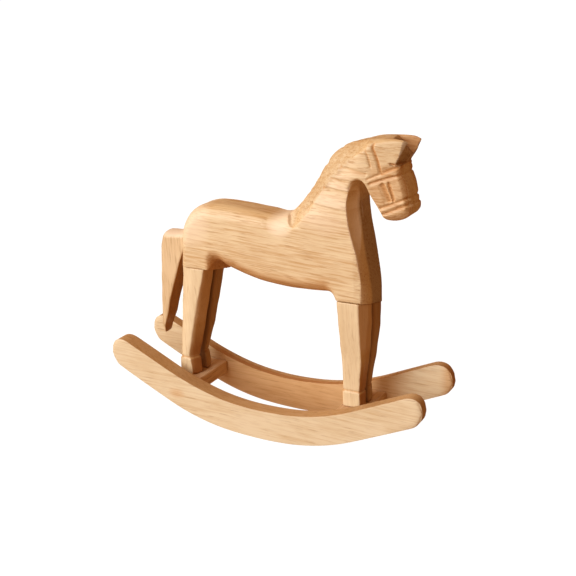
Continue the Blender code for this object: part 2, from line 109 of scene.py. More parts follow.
# Side outline.  Each knot is x, z, how far the rounding of the edge reaches down the
# side, and how far it reaches over the rim.
RUMP_AND_BACK = [
    (-52.0, 77.2, 2.0, 3.0), (-51.8, 91.2, 3.5, 4.5), (-51.7, 101.2, 5.6, 6.4),
    (-51.0, 110.3, 6.6, 7.0), (-48.4, 117.8, 7.0, 7.5), (-43.5, 123.9, 7.0, 8.0),
    (-36.3, 127.7, 7.0, 8.0), (-26.6, 129.0, 7.2, 8.0), (-13.0, 128.4, 7.5, 8.0),
    (2.0, 127.1, 7.0, 8.0), (11.0, 126.4, 7.5, 8.5), (17.6, 127.6, 8.5, 9.0)]
CREST = [
    (17.6, 127.6, 8.5, 9.0), (21.6, 131.1, 8.6, 10.5), (27.8, 138.7, 8.4, 10.8),
    (33.5, 147.0, 8.8, 10.8), (38.3, 154.5, 9.6, 10.8), (43.8, 161.0, 10.0, 10.6),
    (51.4, 165.8, 8.8, 10.2), (58.8, 168.2, 6.4, 8.8), (64.6, 169.5, 4.6, 6.8)]
HEAD_TOP = [
    (66.4, 169.9, 4.0, 6.4), (72.0, 170.7, 2.6, 5.0), (78.0, 171.2, 1.8, 3.6),
    (83.5, 170.8, 1.0, 2.0), (88.0, 169.2, 0.6, 1.0)]
EAR_FRONT = [
    (88.0, 169.2, 0.6, 1.0), (88.4, 167.6, 2.2, 1.8), (86.0, 163.4, 2.4, 2.0),
    (82.8, 159.2, 0.8, 1.0)]
FACE = [
    (82.8, 159.2, 0.8, 1.0), (82.9, 156.2, 0.8, 1.0), (83.6, 152.6, 0.9, 1.1),
    (85.2, 148.6, 1.0, 1.4), (86.3, 144.2, 1.1, 1.6), (86.9, 140.2, 1.1, 1.6),
    (87.9, 137.4, 1.2, 1.8), (87.7, 134.8, 1.4, 1.8)]
CHIN = [
    (87.7, 134.8, 1.4, 1.8), (85.8, 132.4, 1.6, 2.0), (82.7, 130.8, 1.6, 2.2),
    (78.9, 130.1, 1.6, 2.2), (75.2, 130.6, 1.2, 1.8), (73.6, 131.9, 0.8, 1.4)]
JAW_AND_THROAT = [
    (73.6, 131.9, 0.8, 1.4), (70.7, 137.4, 0.8, 1.2), (67.5, 142.8, 0.8, 1.2),
    (65.4, 146.8, 0.9, 1.4), (64.0, 148.6, 1.0, 2.0), (62.2, 149.6, 1.2, 2.4),
    (60.4, 149.3, 1.2, 2.4), (59.2, 147.8, 1.6, 3.0), (58.5, 145.2, 2.1, 3.6)]
CHEST = [
    (58.5, 145.2, 1.2, 1.7), (58.5, 140.2, 0.7, 1.8), (58.7, 133.2, 0.6, 1.6),
    (59.5, 120.2, 0.5, 1.2), (61.1, 108.2, 0.5, 1.5), (62.8, 98.2, 0.6, 1.7),
    (63.7, 90.2, 1.2, 1.8), (63.6, 83.2, 1.5, 1.8), (63.4, 73.2, 1.7, 1.8)]
SHOULDER_AND_BELLY = [
    (46.8, 73.2, 1.0, 1.0), (46.8, 82.8, 1.2, 1.6), (45.0, 86.2, 3.0, 4.0),
    (41.8, 87.7, 5.2, 6.0), (36.0, 87.2, 5.4, 7.0), (27.0, 86.7, 5.4, 7.0),
    (17.0, 86.6, 5.4, 7.0), (7.0, 87.1, 5.6, 7.0), (-2.0, 88.3, 5.8, 7.0),
    (-11.0, 90.2, 6.2, 7.0), (-18.0, 92.2, 6.6, 7.0), (-23.0, 94.3, 6.2, 6.6),
    (-26.6, 96.0, 6.0, 7.0), (-29.2, 96.3, 5.0, 6.4), (-31.0, 94.7, 2.2, 3.6),
    (-32.6, 90.2, 0.8, 1.2), (-33.2, 77.2, 0.8, 1.2)]
# How full each stretch's edge is (0 is a flat chamfer, 1 a quarter round), and how
# much wider it was cut on the right side, down the side and over the rim.
STRETCHES = [
    (RUMP_AND_BACK, 1.0, 1.0, 1.0), (CREST, 0.15, 1.0, 1.0), (HEAD_TOP, 0.8, 1.0, 1.0),
    (EAR_FRONT, 0.5, 1.0, 1.0), (FACE, 0.5, 2.4, 2.6), (CHIN, 0.3, 2.4, 1.3),
    (JAW_AND_THROAT, 0.5, 1.5, 1.5), (CHEST, 0.4, 1.8, 3.2),
    (SHOULDER_AND_BELLY, 0.6, 1.35, 1.05)]

HEAD_TAPER_FROM = 58.0           # the sides of the head close in from here
HEAD_TAPER = 0.154               # by this much for each millimetre of length
FACE_FROM = 78.0                 # the face and the ears lie ahead of this x

# The hollows in the edges of the breast; pairs are for the right and the left side.
CRESCENT_AT = (58.8, 131.4)      # where they are deepest
CRESCENT_DEPTH = (3.45, 1.75)
CRESCENT_UP = (15.5, 2.1)        # how far they reach up, and how late they fade out
CRESCENT_DOWN = (22.5, 1.5)      # and the same downwards
CRESCENT_LEAN = 0.09             # how much further forward they start lower down
CRESCENT_SLOPE = (0.07, 0.445)   # how fast they run out towards the middle
CRESCENT_HOLLOW = (0.0221, 0.0)  # how hollow the gouge left them
CRESCENT_FRONT = 6.0             # nothing that is further forward is cut
THROAT_CUT = (-1.0, 1.1, 0.7)    # upright groove in the breast: y, half width, depth
THROAT_CUT_FADES = ((125.0, 4.0), (147.0, -4.0))
BREAST_FROM = 52.0               # the groove lies ahead of this x

EAR_FLOOR = (84.5, 5.6, 160.8)   # lowest point of the cut between the ears, in front
EAR_FLOOR_RISE = (1.15, 0.35)    # its climb backwards and towards the right ear
EAR_WALL = -5.5                  # where the right ear's inner side stands up
EAR_WALL_SLOPE = 12.0            # how steep that side is, and the left ear's

SEAM_SLOPE = 0.25                # the legs are glued on along slanted cuts
HIND_SEAM = 88.7                 # height of each cut in the middle of the horse
FRONT_SEAM = 82.3
SEAM_GAP = 0.16
TRUNK = (-20.0, 40.0)            # the cuts lie outside this stretch of x

# Knife cuts in the flat of each side: the points (x, z) that the blade went through,
# the depth, and how far the slope runs to the left and to the right of its way.
BRIDLE = [
    (((65.8, 165.6), (67.2, 162.6), (68.6, 157.4)), 0.6, 0.5, 1.0),     # thin cheek strap
    (((70.4, 168.4), (70.0, 166.6), (71.2, 163.4), (72.4, 160.0), (73.7, 154.4)),
     1.1, 0.5, 1.5),                                                      # its front edge
    (((66.4, 151.0), (73.9, 154.1)), 0.7, 1.1, 0.7),                      # upper nose strap
    (((73.9, 154.1), (81.6, 157.2)), 1.0, 2.6, 0.7),
    (((67.4, 148.9), (75.6, 151.9), (83.2, 154.0)), 0.9, 0.6, 1.5),
    (((78.4, 159.3), (82.6, 158.5)), 1.2, 0.6, 0.8),                      # eye
    (((74.4, 149.0), (77.9, 140.8)), 1.2, 1.1, 3.0),                      # folds
    (((77.2, 149.4), (79.5, 140.9)), 1.2, 1.5, 0.9),
    (((72.8, 136.9), (76.1, 138.0), (86.6, 142.4)), 0.9, 1.2, 1.2),       # lower nose strap
    (((74.2, 133.7), (86.6, 139.1)), 0.9, 1.5, 1.0)]
NECK_CUTS = [
    (((51.5, 156.6), (66.0, 154.0)), 0.5, 0.8, 5.0),
    (((46.0, 150.3), (62.0, 148.9)), 0.5, 0.8, 4.4),
    (((41.5, 145.2), (57.6, 143.6)), 0.6, 0.8, 6.5),
    (((32.5, 136.0), (57.6, 133.8)), 0.4, 0.8, 8.0)]
NECK_FALL = (1.5, 15.0)          # the neck thins towards the mane: depth and reach
MANE_CREASE = ((32.2, 132.2), (0.688, 0.726))    # a point on it, and its direction
MANE_ROOT = [
    (((23.2, 130.2), (22.8, 123.2)), 1.0, 3.6, 0.5),
    (((24.6, 123.6), (27.4, 122.8)), 0.9, 0.5, 0.5)]
CUT_END = 1.2                    # a knife cut fades out this far beyond its ends
FACE_CUTS = [(156.6, 0.45), (153.4, 0.5), (141.8, 0.6), (138.6, 0.6)]    # z, depth
SPOON_AT = (14.0, 123.6)         # shallow hollow of a spoon gouge behind the mane
SPOON_SIZE = (10.5, 5.8)
SPOON_DEPTH = 0.7

# Flat shavings: a point on each, and the way it faces.
EAR_SHAVES = [                                             # on the right ear
    ((84.6, -8.0, 169.3), (0.62, -0.77, -0.16)),
    ((88.0, 0.0, 170.0), (0.87, -0.12, -0.47))]
EAR_SHAVE_FROM = 158.8           # they start at the brow
HEAD_SHAVE = ((75.0, 8.0, 170.2), (0.0, 0.075, 1.0))       # top of the head

NECK_FADES = ((20.0, 12.0), (66.0, -8.0), (122.0, 10.0))     # along x, x and z
MANE_FADE = -1.5                 # from the crease up
MANE_PITS = (3.2, 0.6)           # size and depth of the pits in the mane
MANE_PITS_FADE = -2.0
PIT_SPREAD = 0.1                 # more makes more of the surface pitted

# Where the body is darkened with the cut colour, from 0 to 1: painted shade in the knife cuts,
# on rounded edges, under the belly and inside the left ear, and a tint on the muzzle.
EDGE_SHADE_FADE = (0.4, 3.0)      # painted shade on the rounded edges, which turn from the light, counted in from the side
EDGE_MIDDLE_FADE = (2.0, 3.0)    # but not in the middle of the block
HEAD_BOX = (66.0, 128.0, 160.0)  # only on the head: from x, between two heights,
LOW_EDGES = 92.0                 # and below this height
MUZZLE_TINT = 0.42               # the muzzle, a little
MUZZLE_FADES = ((65.0, 4.0), (160.0, -4.0), (126.0, 2.0))    # along x, z and z
# painted shade along the lower edge of the belly, which turns from the light
BELLY_SHADE = 1.0
BELLY_SHADE_EDGE = (20.0, 86.8, 15.0, 11.0)     # lower edge of the painted shade: x, z, how it curves, how far it reaches
BELLY_CLIMB = 9.0                # that edge climbs no more than this
BELLY_FADES = ((-36.0, 6.0), (48.0, -8.0))
LEFT_EAR_SHADE = 0.8                   # painted shade on the inner side of the left ear, which the right ear shades, ahead of this x
LEFT_EAR_FROM = 76.0
ROOT_SHADE = 0.25                 # the cuts behind this x, at the mane's root, get less painted shade
ROOT_TO = 32.0
# Where painted light makes it paler: the hollow in the right edge of the breast, the
# throat and the front of the face, all turned from the light, and painted sheen on
# the neck, the rump and the saddle.
BREAST_PAINTED_LIGHT = 0.8
BREAST_PAINTED_LIGHT_FADES = ((96.0, 24.0, 0.25), (152.0, -18.0, 0.3))    # the third is the least
RIGHT_EDGE_FADE = (-1.5, -2.5)
THROAT_PAINTED_LIGHT = 0.15
THROAT_PAINTED_LIGHT_FADE = (136.0, 8.0)
FACE_PAINTED_LIGHT = 0.6
FACE_RIM = 2.5                   # the face's edges aren't,
BROW_RIM = 2.0                   # nor the brow
PAINTED_SHEEN = [                    # painted sheen: places (x, z), reach and amount
    ((42.0, 141.0), 22.0, 0.55), ((-44.0, 120.0), 17.0, 0.6),
    ((15.0, 123.8), 9.0, 0.8)]
# Where it is darker: painted shade on the middle of the breast, which is also darker end grain,
# and on the forward faces of the ears and between them; the mane's end grain, where the oil
# stayed dark.
BREAST_SHADE = 1.0
BREAST_SHADE_FADE = (146.0, -10.0)
BREAST_BOX = (50.0, 66.0, 151.0)     # between two x, and below a height
BREAST_FADE = (0.35, 0.3)        # by how far it faces forwards
MANE_STAIN = 0.22
EAR_FRONT_SHADE = 0.85
EAR_RIM = 1.0                    # the ears' colours start this far below the shavings
FACING = 0.3                     # a facet counts as facing one way from here on

# ---- shapes of the legs and the tail -------------------------------------------------
# Stations of a leg: height, back, front, inner side, outer side, the long chamfer
# behind (along x, along y), the short chamfers of the inner corners, how far the front
# runs back towards the outer side on the right leg and on the left one, and the chamfer
# of the right leg's outer front corner.
HIND_LEG = [
    (92.5, -52.4, -35.0, 1.0, 11.2, 7.8, 3.0, 0.8, 0.0, 0.0, 1.0),
    (83.0, -53.6, -37.2, 1.1, 10.8, 7.4, 3.0, 0.8, 0.8, 0.0, 0.9),
    (70.7, -55.4, -40.2, 1.3, 10.2, 6.8, 2.6, 0.8, 2.4, 0.0, 0.8),
    (51.2, -58.0, -44.7, 1.8, 9.3, 5.2, 2.0, 0.8, 4.0, 0.4, 0.7),
    (35.0, -60.0, -49.4, 2.2, 8.7, 3.6, 1.5, 0.8, 3.9, 1.4, 0.7),
    (32.4, -61.0, -49.4, 2.2, 8.8, 2.2, 1.4, 0.7, 3.0, 1.4, 0.7),
    (25.4, -61.4, -49.0, 2.2, 9.0, 2.0, 1.4, 0.7, 2.6, 1.4, 0.7),
    (23.0, -60.9, -49.2, 2.3, 8.9, 2.0, 1.4, 0.8, 2.5, 1.4, 0.8)]
FRONT_LEG = [
    (86.2, 46.8, 63.2, 0.5, 11.9, 1.2, 1.2, 1.2, 0.0, 0.0, 3.1),
    (75.2, 47.4, 63.0, 0.5, 11.9, 1.2, 1.2, 1.2, 0.0, 0.0, 2.9),
    (66.2, 47.6, 62.6, 0.5, 11.3, 1.2, 1.2, 1.1, 0.3, 0.0, 2.2),
    (51.2, 47.6, 61.0, 0.6, 9.5, 1.2, 1.2, 1.0, 0.4, 0.0, 1.0),
    (40.2, 47.2, 59.1, 0.8, 8.4, 1.2, 1.1, 0.9, 0.3, 0.0, 0.9),
    (33.4, 46.9, 58.4, 1.2, 7.8, 1.1, 1.0, 0.9, 0.2, 0.2, 0.9),
    (32.0, 46.7, 58.4, 1.2, 8.1, 1.2, 1.1, 0.9, 0.2, 0.2, 0.9),
    (23.0, 46.4, 58.3, 1.3, 7.9, 1.2, 1.1, 0.9, 0.2, 0.2, 0.9)]
HOOF_CUT = {"hind": (33.8, 0.7, 0.6, 1.4), "front": (32.8, 0.7, 0.5, 1.2)}
CORNER_SLANT = 0.45              # the outer front chamfer runs further over the front
LONG_ROUND = 0.5                 # how round the long chamfer's edges are
HOOF_INNER_SHARE = 0.5           # the hoof's groove is less deep on the inner side
LEG_STEP = 0.5                   # mesh size of the legs and the tail
LEG_MARGIN = 1.5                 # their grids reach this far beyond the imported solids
# Colours of the legs, which are mostly painted shade and light.  The left ones, further
# from the light, are darker all over with painted shade, and the right ones low on their
# fronts, turned from the light, by a share of it.  Higher up those fronts get painted
# light.  Low down they are tinted as cuts are, as painted shade, and so are the inner
# sides of all legs, where the legs shade each other.
LEG_SHADE = 0.75
LEG_FRONT_SHADE = 0.7
LEG_LOW_FADE = (60.0, -22.0)     # down from this height
LEG_FRONT_FADE = (0.4, 1 / 3)    # by how far a face looks forwards
LEG_FRONT_LIGHT = 0.2
LEG_LOW_SHADE = 0.9
LEG_INNER_SHADE = 0.8
LEG_INNER_FADE = (0.3, 0.5)      # by how far a face looks to the middle
LEAST_CUT = 0.05                 # a shallower groove keeps the colour round it
# Stations of the tail: height, back edge, front edge, half thickness.
TAIL = [
    (110.4, -62.6, -52.2, 5.6), (108.6, -66.2, -52.1, 5.9), (105.6, -68.2, -52.0, 6.0),
    (100.2, -69.8, -52.4, 6.0), (91.2, -71.0, -56.6, 6.0), (79.2, -72.3, -61.3, 5.9),
    (67.2, -73.7, -66.0, 5.6), (56.8, -74.9, -69.2, 5.2), (49.2, -76.0, -72.4, 4.6),
    (45.0, -76.3, -73.4, 3.6), (44.0, -76.0, -73.9, 2.6)]
TAIL_EASE = (2.0, 0.7)           # chamfers behind and in front,
TAIL_ROUND = 0.4                 # rounded by this share of their width
TAIL_TOP = (109.3, 0.06, 0.07)   # height of the ridge, its climb forwards, its fall
TAIL_TOP_AT = -60.0              # the x of that height
TAIL_TOP_ROUND = 1.2
TAIL_TOP_LIGHT = 0.8                  # painted light makes its top paler,
TAIL_TOP_LIGHT_FADE = (0.25, 0.5)     # by how far it faces up

# How the blade left the surfaces: size and height of the unevenness, and a seed.
BODY_WOBBLE = (9.0, 0.2, 1)
TAIL_WOBBLE = (8.0, 0.3, 9)
LEG_WOBBLE = (7.0, 0.25)
FIRST_LEG_SEED = 2
SEED_STEPS = (7.3, 3.1, 5.7)     # how far the pattern shifts from one seed to the next


# ---- carving kit ---------------------------------------------------------------------

def ramp(value, start, reach, least=0):
    """0, or least, up to start and 1 from a reach further on, or the other way round."""
    return np.clip((value - start) / reach, least, 1)


def oval(x, z, at, size):
    """1 in the middle of an oval patch, falling to 0 at its rim."""
    out = ((x - at[0]) / size[0]) ** 2 + ((z - at[1]) / size[1]) ** 2
    return np.clip(1 - out, 0, 1)


def soft_min(a, b, round_off):
    """The smaller depth, with the edge between the two faces rounded off."""
    share = np.clip(0.5 + 0.5 * (b - a) / round_off, 0.0, 1.0)
    return b + (a - b) * share - round_off * share * (1.0 - share)


def axis(*spans):
    """Grid lines along one axis: spans of (from, to, step) end to end."""
    parts = []
    for start, end, step in spans:
        count = max(1, round((end - start) / step))
        parts.append(start + (end - start) * np.arange(count) / count)
    parts.append([spans[-1][1]])
    return np.concatenate(parts)


def grid(axes):
    """Three arrays that broadcast to every point of the grid."""
    x, y, z = axes
    return x[:, None, None], y[None, :, None], z[None, None, :]


def skin(axes, depth):
    """Corners and four-sided faces of the surface where the depth is nought."""
    cells = tuple(len(line) - 1 for line in axes)
    owners = []
    places = []
    quads = []
    for along in range(3):
        low = [slice(None)] * 3
        high = [slice(None)] * 3
        low[along] = slice(None, -1)
        high[along] = slice(1, None)
        before, after = depth[tuple(low)], depth[tuple(high)]
        at = np.argwhere((before > 0) != (after > 0))
        start = before[tuple(at.T)]
        share = start / (start - after[tuple(at.T)])
        place = np.stack([axes[i][at[:, i]] for i in range(3)], 1)
        ahead = axes[along][at[:, along] + 1]
        place[:, along] += share * (ahead - place[:, along])
        a, b = (along + 1) % 3, (along + 2) % 3
        corners = []
        for step_a, step_b in ((0, 0), (-1, 0), (-1, -1), (0, -1)):
            cell = at.copy()
            cell[:, a] += step_a
            cell[:, b] += step_b
            corners.append(np.ravel_multi_index(cell.T, cells))
            owners.append(corners[-1])
            places.append(place)
        quad = np.stack(corners, 1)
        quad[start <= 0] = quad[start <= 0][:, ::-1]
        quads.append(quad)
    used, index = np.unique(np.concatenate(owners), return_inverse=True)
    places = np.concatenate(places)
    count = np.bincount(index, minlength=len(used))
    points = np.stack([np.bincount(index, places[:, i], len(used)) / count
                       for i in range(3)], 1)
    return points, np.searchsorted(used, np.concatenate(quads))


def put(name, data):
    """A new object in the scene."""
    thing = bpy.data.objects.new(name, data)
    bpy.context.scene.collection.objects.link(thing)
    return thing


def mesh_object(name, points, faces):
    """A smooth mesh from points in millimetres."""
    mesh = bpy.data.meshes.new(name)
    mesh.from_pydata(points * MM, [], faces)
    mesh.shade_smooth()
    mesh.update()
    return put(name, mesh)


def read_mesh(mesh, what):
    """The corners' places ("co") or normals ("normal") as rows of numbers."""
    values = np.empty(len(mesh.vertices) * 3)
    mesh.vertices.foreach_get(what, values)
    return values.reshape(-1, 3)


def push(thing, heights):
    """Move each corner out along its normal, by millimetres."""
    mesh = thing.data
    places = read_mesh(mesh, "co") + read_mesh(mesh, "normal") * heights[:, None] * MM
    mesh.vertices.foreach_set("co", places.ravel())
    mesh.update()


def wobble(thing, size, height, seed):
    """Push the surface in and out a little, as a blade leaves it."""
    shift = Vector([seed * step for step in SEED_STEPS])
    places = read_mesh(thing.data, "co") / (size * MM)
    push(thing, height * np.array([noise.noise(Vector(place) + shift) for place in places]))


def dimple(thing, where, size, deep):
    """Pick small pits into the surface where where(x, z) is more than 0."""
    places = read_mesh(thing.data, "co")
    share = where(places[:, 0] / MM, places[:, 2] / MM)
    heights = np.zeros(len(places))
    for index in np.flatnonzero(share > 0):
        pit = noise.noise(Vector(places[index] / (size * MM)))
        heights[index] = -deep * share[index] * max(0.0, pit + PIT_SPREAD)
    push(thing, heights)


def note(thing, what, amount_of):
    """Keep an amount at each corner of the mesh, worked out from place and facing."""
    mesh = thing.data
    amount = amount_of(read_mesh(mesh, "co") / MM, read_mesh(mesh, "normal"))
    layer = mesh.attributes.new(what, "FLOAT", "POINT")
    layer.data.foreach_set("value", np.minimum(1.0, amount).astype(np.float32))


# ---- the horse -----------------------------------------------------------------------

def spline(knots, step):
    """Points about step apart on a smooth curve through the knots."""
    knots = np.array(knots)
    points = []
    for i in range(len(knots) - 1):
        a, b, c, d = (knots[min(max(i + k, 0), len(knots) - 1)] for k in (-1, 0, 1, 2))
        count = max(1, round(math.dist(b[:2], c[:2]) / step))
        for t in np.arange(count) / count:
            points.append(0.5 * (2 * b + (c - a) * t + (2 * a - 5 * b + 4 * c - d) * t ** 2
                                 + (3 * b - a - 3 * c + d) * t ** 3))
    points.append(knots[-1])
    return points


def body_outline():
    """The closed outline: x, z, reach down, reach over, fullness and right-hand widening."""
    line = []
    for knots, *edge in STRETCHES:
        for point in spline(knots, OUTLINE_STEP):
            if not line or math.dist(point[:2], line[-1][:2]) > OUTLINE_LEAST:
                line.append(np.append(point, edge))
    return np.array(line)


def depth_inside(x, z, line):
    """How deep each (x, z) lies inside a closed outline, and the nearest point's values."""
    spots = np.stack(np.broadcast_arrays(x, z), -1).reshape(-1, 2)
    corners = line[:, :2]
    ahead = np.roll(corners, -1, 0) - corners
    reach = np.hypot(*ahead.T)
    face = np.stack([-ahead[:, 1], ahead[:, 0]], 1) / reach[:, None]
    corner_face = face + np.roll(face, 1, 0)
    depth = np.empty(len(spots))
    values = np.empty((len(spots), line.shape[1] - 2))
    parts = max(1, len(spots) // SPOTS_AT_ONCE)
    for part in np.array_split(np.arange(len(spots)), parts):
        spot = spots[part]
        near = ((spot[:, None] - corners) ** 2).sum(-1).argmin(1)
        best = np.full(len(part), np.inf)
        for first in ((near - 1) % len(line), near):
            along = ((spot - corners[first]) * ahead[first]).sum(1) / reach[first] ** 2
            inner = (along > 0) & (along < 1)
            along = np.clip(along, 0, 1)[:, None]
            away = spot - corners[first] - ahead[first] * along
            out = np.where(inner[:, None], face[first], corner_face[near])
            distance = np.hypot(*away.T)
            closer = distance < best
            best = np.where(closer, distance, best)
            second = (first + 1) % len(line)
            mixed = line[first, 2:] * (1 - along) + line[second, 2:] * along
            depth[part[closer]] = (-np.sign((away * out).sum(1)) * distance)[closer]
            values[part[closer]] = mixed[closer]
    shape = np.broadcast(x, z).shape
    return depth.reshape(shape), *(v.reshape(shape) for v in values.T)


def knife_cuts(x, z, cuts):
    """Depth of a set of V cuts in a flat side, each fading out beyond its ends."""
    deepest = np.zeros(np.broadcast(x, z).shape)
    for way, depth, left, right in cuts:
        for (x0, z0), (x1, z1) in zip(way, way[1:]):
            length = math.dist((x0, z0), (x1, z1))
            ax, az = (x1 - x0) / length, (z1 - z0) / length
            along = (x - x0) * ax + (z - z0) * az
            across = (z - z0) * ax - (x - x0) * az
            past = np.maximum(0, np.maximum(-along, along - length))
            width = np.where(across > 0, left, right)
            cut = depth * np.clip(1 - np.abs(across) / width - past / CUT_END, 0, None)
            deepest = np.maximum(deepest, cut)
    return deepest


def shave(depth, points, place, facing):
    """Slice off all that lies beyond a plane."""
    size = math.sqrt(sum(f * f for f in facing))
    out = sum((p - at) * f / size for p, at, f in zip(points, place, facing))
    return soft_min(depth, -out, KNIFE_ROUND)


def side_cuts(x, z):
    """All that was cut into the flat of a side, as depth."""
    cuts = knife_cuts(x, z, BRIDLE + NECK_CUTS + MANE_ROOT)
    return np.maximum(cuts, SPOON_DEPTH * oval(x, z, SPOON_AT, SPOON_SIZE))


def half_width(x):
    """Half the block's thickness at each x, before anything is cut into its sides."""
    return BODY_HALF - HEAD_TAPER * np.maximum(0, x - HEAD_TAPER_FROM)


def on_neck(x, z):
    """1 on the neck, fading out towards the back, the head and the shoulder."""
    behind, ahead, below = NECK_FADES
    return ramp(x, *behind) * ramp(x, *ahead) * ramp(z, *below)


def below_mane(x, z):
    """Distance below the crease that parts the mane from the side of the neck."""
    (at_x, at_z), (way_x, way_z) = MANE_CREASE
    return (x - at_x) * way_z - (z - at_z) * way_x


def on_mane(x, z, fade=MANE_FADE):
    """1 on the mane, fading out towards its crease."""
    return on_neck(x, z) * ramp(below_mane(x, z), 0.0, fade)


def rounded_block(axes):
    """The block sawn to the side outline, with its edges eased and its sides cut."""
    y = grid(axes)[1]
    x, z = axes[0][:, None], axes[2][None, :]
    inside, down, over, full, more_down, more_over = depth_inside(x, z, body_outline())
    fall, reach = NECK_FALL
    half = half_width(x) - side_cuts(x, z)
    half = half - fall * on_neck(x, z) * np.clip(1 - below_mane(x, z) / reach, 0, 1) ** 2
    for height, deep in FACE_CUTS:
        bite = np.where(x > FACE_FROM, deep - np.abs(z - height), 0)
        inside = inside - np.maximum(0, bite)

    def spread(flat):
        return flat[:, None, :]

    right = y < 0
    down = spread(down) * np.where(right, spread(more_down), 1.0)
    over = spread(over) * np.where(right, spread(more_over), 1.0)
    power = spread(1 + full)
    side = np.maximum(0, 1 - spread(inside) / down)
    rim = np.maximum(0, 1 - (spread(half) - np.abs(y)) / over)
    return (1 - (side ** power + rim ** power) ** (1 / power)) * np.minimum(down, over)


def cut_ears(depth, x, y, z):
    """Part the ears from each other, then shave the right one and the top of the head."""
    at_x, at_y, at_z = EAR_FLOOR
    back, aside = EAR_FLOOR_RISE
    floor = at_z + back * (at_x - x)
    floor = floor + aside * np.clip(at_y - y, 0, at_y - EAR_WALL)
    wall = np.maximum(y - at_y, EAR_WALL - y)
    floor = floor + EAR_WALL_SLOPE * np.maximum(0, wall)
    steep = math.sqrt(1 + back ** 2) + np.where(wall > 0, EAR_WALL_SLOPE - 1, 0)
    depth = soft_min(depth, (floor - z) / steep, KNIFE_ROUND)
    for place, facing in EAR_SHAVES:
        shaved = shave(depth, (x, y, z), place, facing)
        depth = np.where((z > EAR_SHAVE_FROM) & (y < 0), shaved, depth)
    shaved = shave(depth, (x, y, z), *HEAD_SHAVE)
    return np.where(x > HEAD_TAPER_FROM, shaved, depth)


def cut_breast(depth, x, y, z):
    """Hollow out the edges of the breast, and cut the groove down its front."""
    right = y < 0
    rise = z - CRESCENT_AT[1]
    (up, late_up), (down, late_down) = CRESCENT_UP, CRESCENT_DOWN
    share = np.where(rise > 0, rise / up, -rise / down)
    bite = 1 - np.minimum(1, np.abs(share)) ** np.where(rise > 0, late_up, late_down)
    bite = bite * np.where(right, *CRESCENT_DEPTH)
    inwards = BODY_HALF - np.abs(y)
    slope = np.where(right, *CRESCENT_SLOPE) + np.where(right, *CRESCENT_HOLLOW) * inwards
    out = x - CRESCENT_AT[0] + CRESCENT_LEAN * rise - slope * inwards
    near = (np.abs(share) < 1) & (x < CRESCENT_AT[0] + CRESCENT_FRONT)
    depth = np.minimum(depth, np.where(near, -bite - out, FAR))

    at, width, deep = THROAT_CUT
    above, below = THROAT_CUT_FADES
    groove = np.clip(1 - np.abs(y - at) / width, 0, 1) * ramp(z, *above) * ramp(z, *below)
    return depth - np.where(x > BREAST_FROM, deep * groove, 0)


def body_depth(axes):
    """The horse without its legs."""
    x, y, z = grid(axes)
    seam = np.where(x < 0, HIND_SEAM, FRONT_SEAM) - SEAM_SLOPE * y
    glued = (x < TRUNK[0]) | (x > TRUNK[1])
    depth = np.minimum(rounded_block(axes), np.where(glued, z - seam, FAR))
    depth = cut_breast(cut_ears(depth, x, y, z), x, y, z)
    return depth.astype(np.float32)


def on_breast(place, facing):
    """1 where the front of the breast faces forwards."""
    x, _, z = place.T
    back, front, top = BREAST_BOX
    return ramp(facing[:, 0], *BREAST_FADE) * ((x > back) & (x < front) & (z < top))


def at_right_edge(place):
    """1 on the right of the breast, fading out to its middle."""
    return ramp(place[:, 1], *RIGHT_EDGE_FADE)


def on_ears(place, start):
    """Whether each place is on the ears, ahead of an x."""
    return (place[:, 0] > start) & (place[:, 2] > EAR_SHAVE_FROM - EAR_RIM)


def body_stain_and_shade(place, facing):
    """Where it is darker: painted shade on the breast's front, which is also darker end grain,
    and on the ears' forward faces; the mane, where the oil stayed dark.
    """
    x, _, z = place.T
    breast = BREAST_SHADE * on_breast(place, facing) * (1 - at_right_edge(place))
    breast = breast * ramp(z, *BREAST_SHADE_FADE)
    ears = EAR_FRONT_SHADE * (on_ears(place, FACE_FROM) & (facing[:, 0] > FACING))
    return np.maximum(breast, np.maximum(MANE_STAIN * on_mane(x, z), ears))


def under_belly_shade(x, z):
    """Painted shade: 1 at the lower edge of the belly, which turns from the light, fading out
    up the sides.
    """
    at_x, at_z, curve, reach = BELLY_SHADE_EDGE
    edge = at_z + np.minimum(((x - at_x) / curve) ** 2, BELLY_CLIMB)
    behind, ahead = BELLY_FADES
    return ramp(z - edge, reach, -reach) * ramp(x, *behind) * ramp(x, *ahead)


def body_shade_and_tint(place, facing):
    """How strongly each place is darkened with the cut colour: painted shade in the knife cuts,
    on rounded edges, under the belly and inside the left ear, and a tint on the muzzle.
    """
    x, y, z = place.T
    # painted shade on the rounded edges of the head and low down, which turn from the light
    edge = ramp(half_width(x) - np.abs(y), *EDGE_SHADE_FADE)
    edge = edge * ramp(np.abs(y), *EDGE_MIDDLE_FADE)
    head_x, chin, brow = HEAD_BOX
    on_head = (x > head_x) & (z > chin) & (z < brow)
    edge = edge * (on_head | (z < LOW_EDGES)) * (1 - on_breast(place, facing))
    behind, above, below = MUZZLE_FADES
    muzzle = MUZZLE_TINT * ramp(x, *behind) * ramp(z, *above) * ramp(z, *below)
    # painted shade in the knife cuts, less behind the mane's root
    sides = side_cuts(x, z) * np.where(x < ROOT_TO, ROOT_SHADE, 1.0)
    left_ear_shade = on_ears(place, LEFT_EAR_FROM) & (y > 0) & (facing[:, 1] < -FACING)
    return np.maximum.reduce([
        sides, edge, muzzle, BELLY_SHADE * under_belly_shade(x, z), LEFT_EAR_SHADE * left_ear_shade])


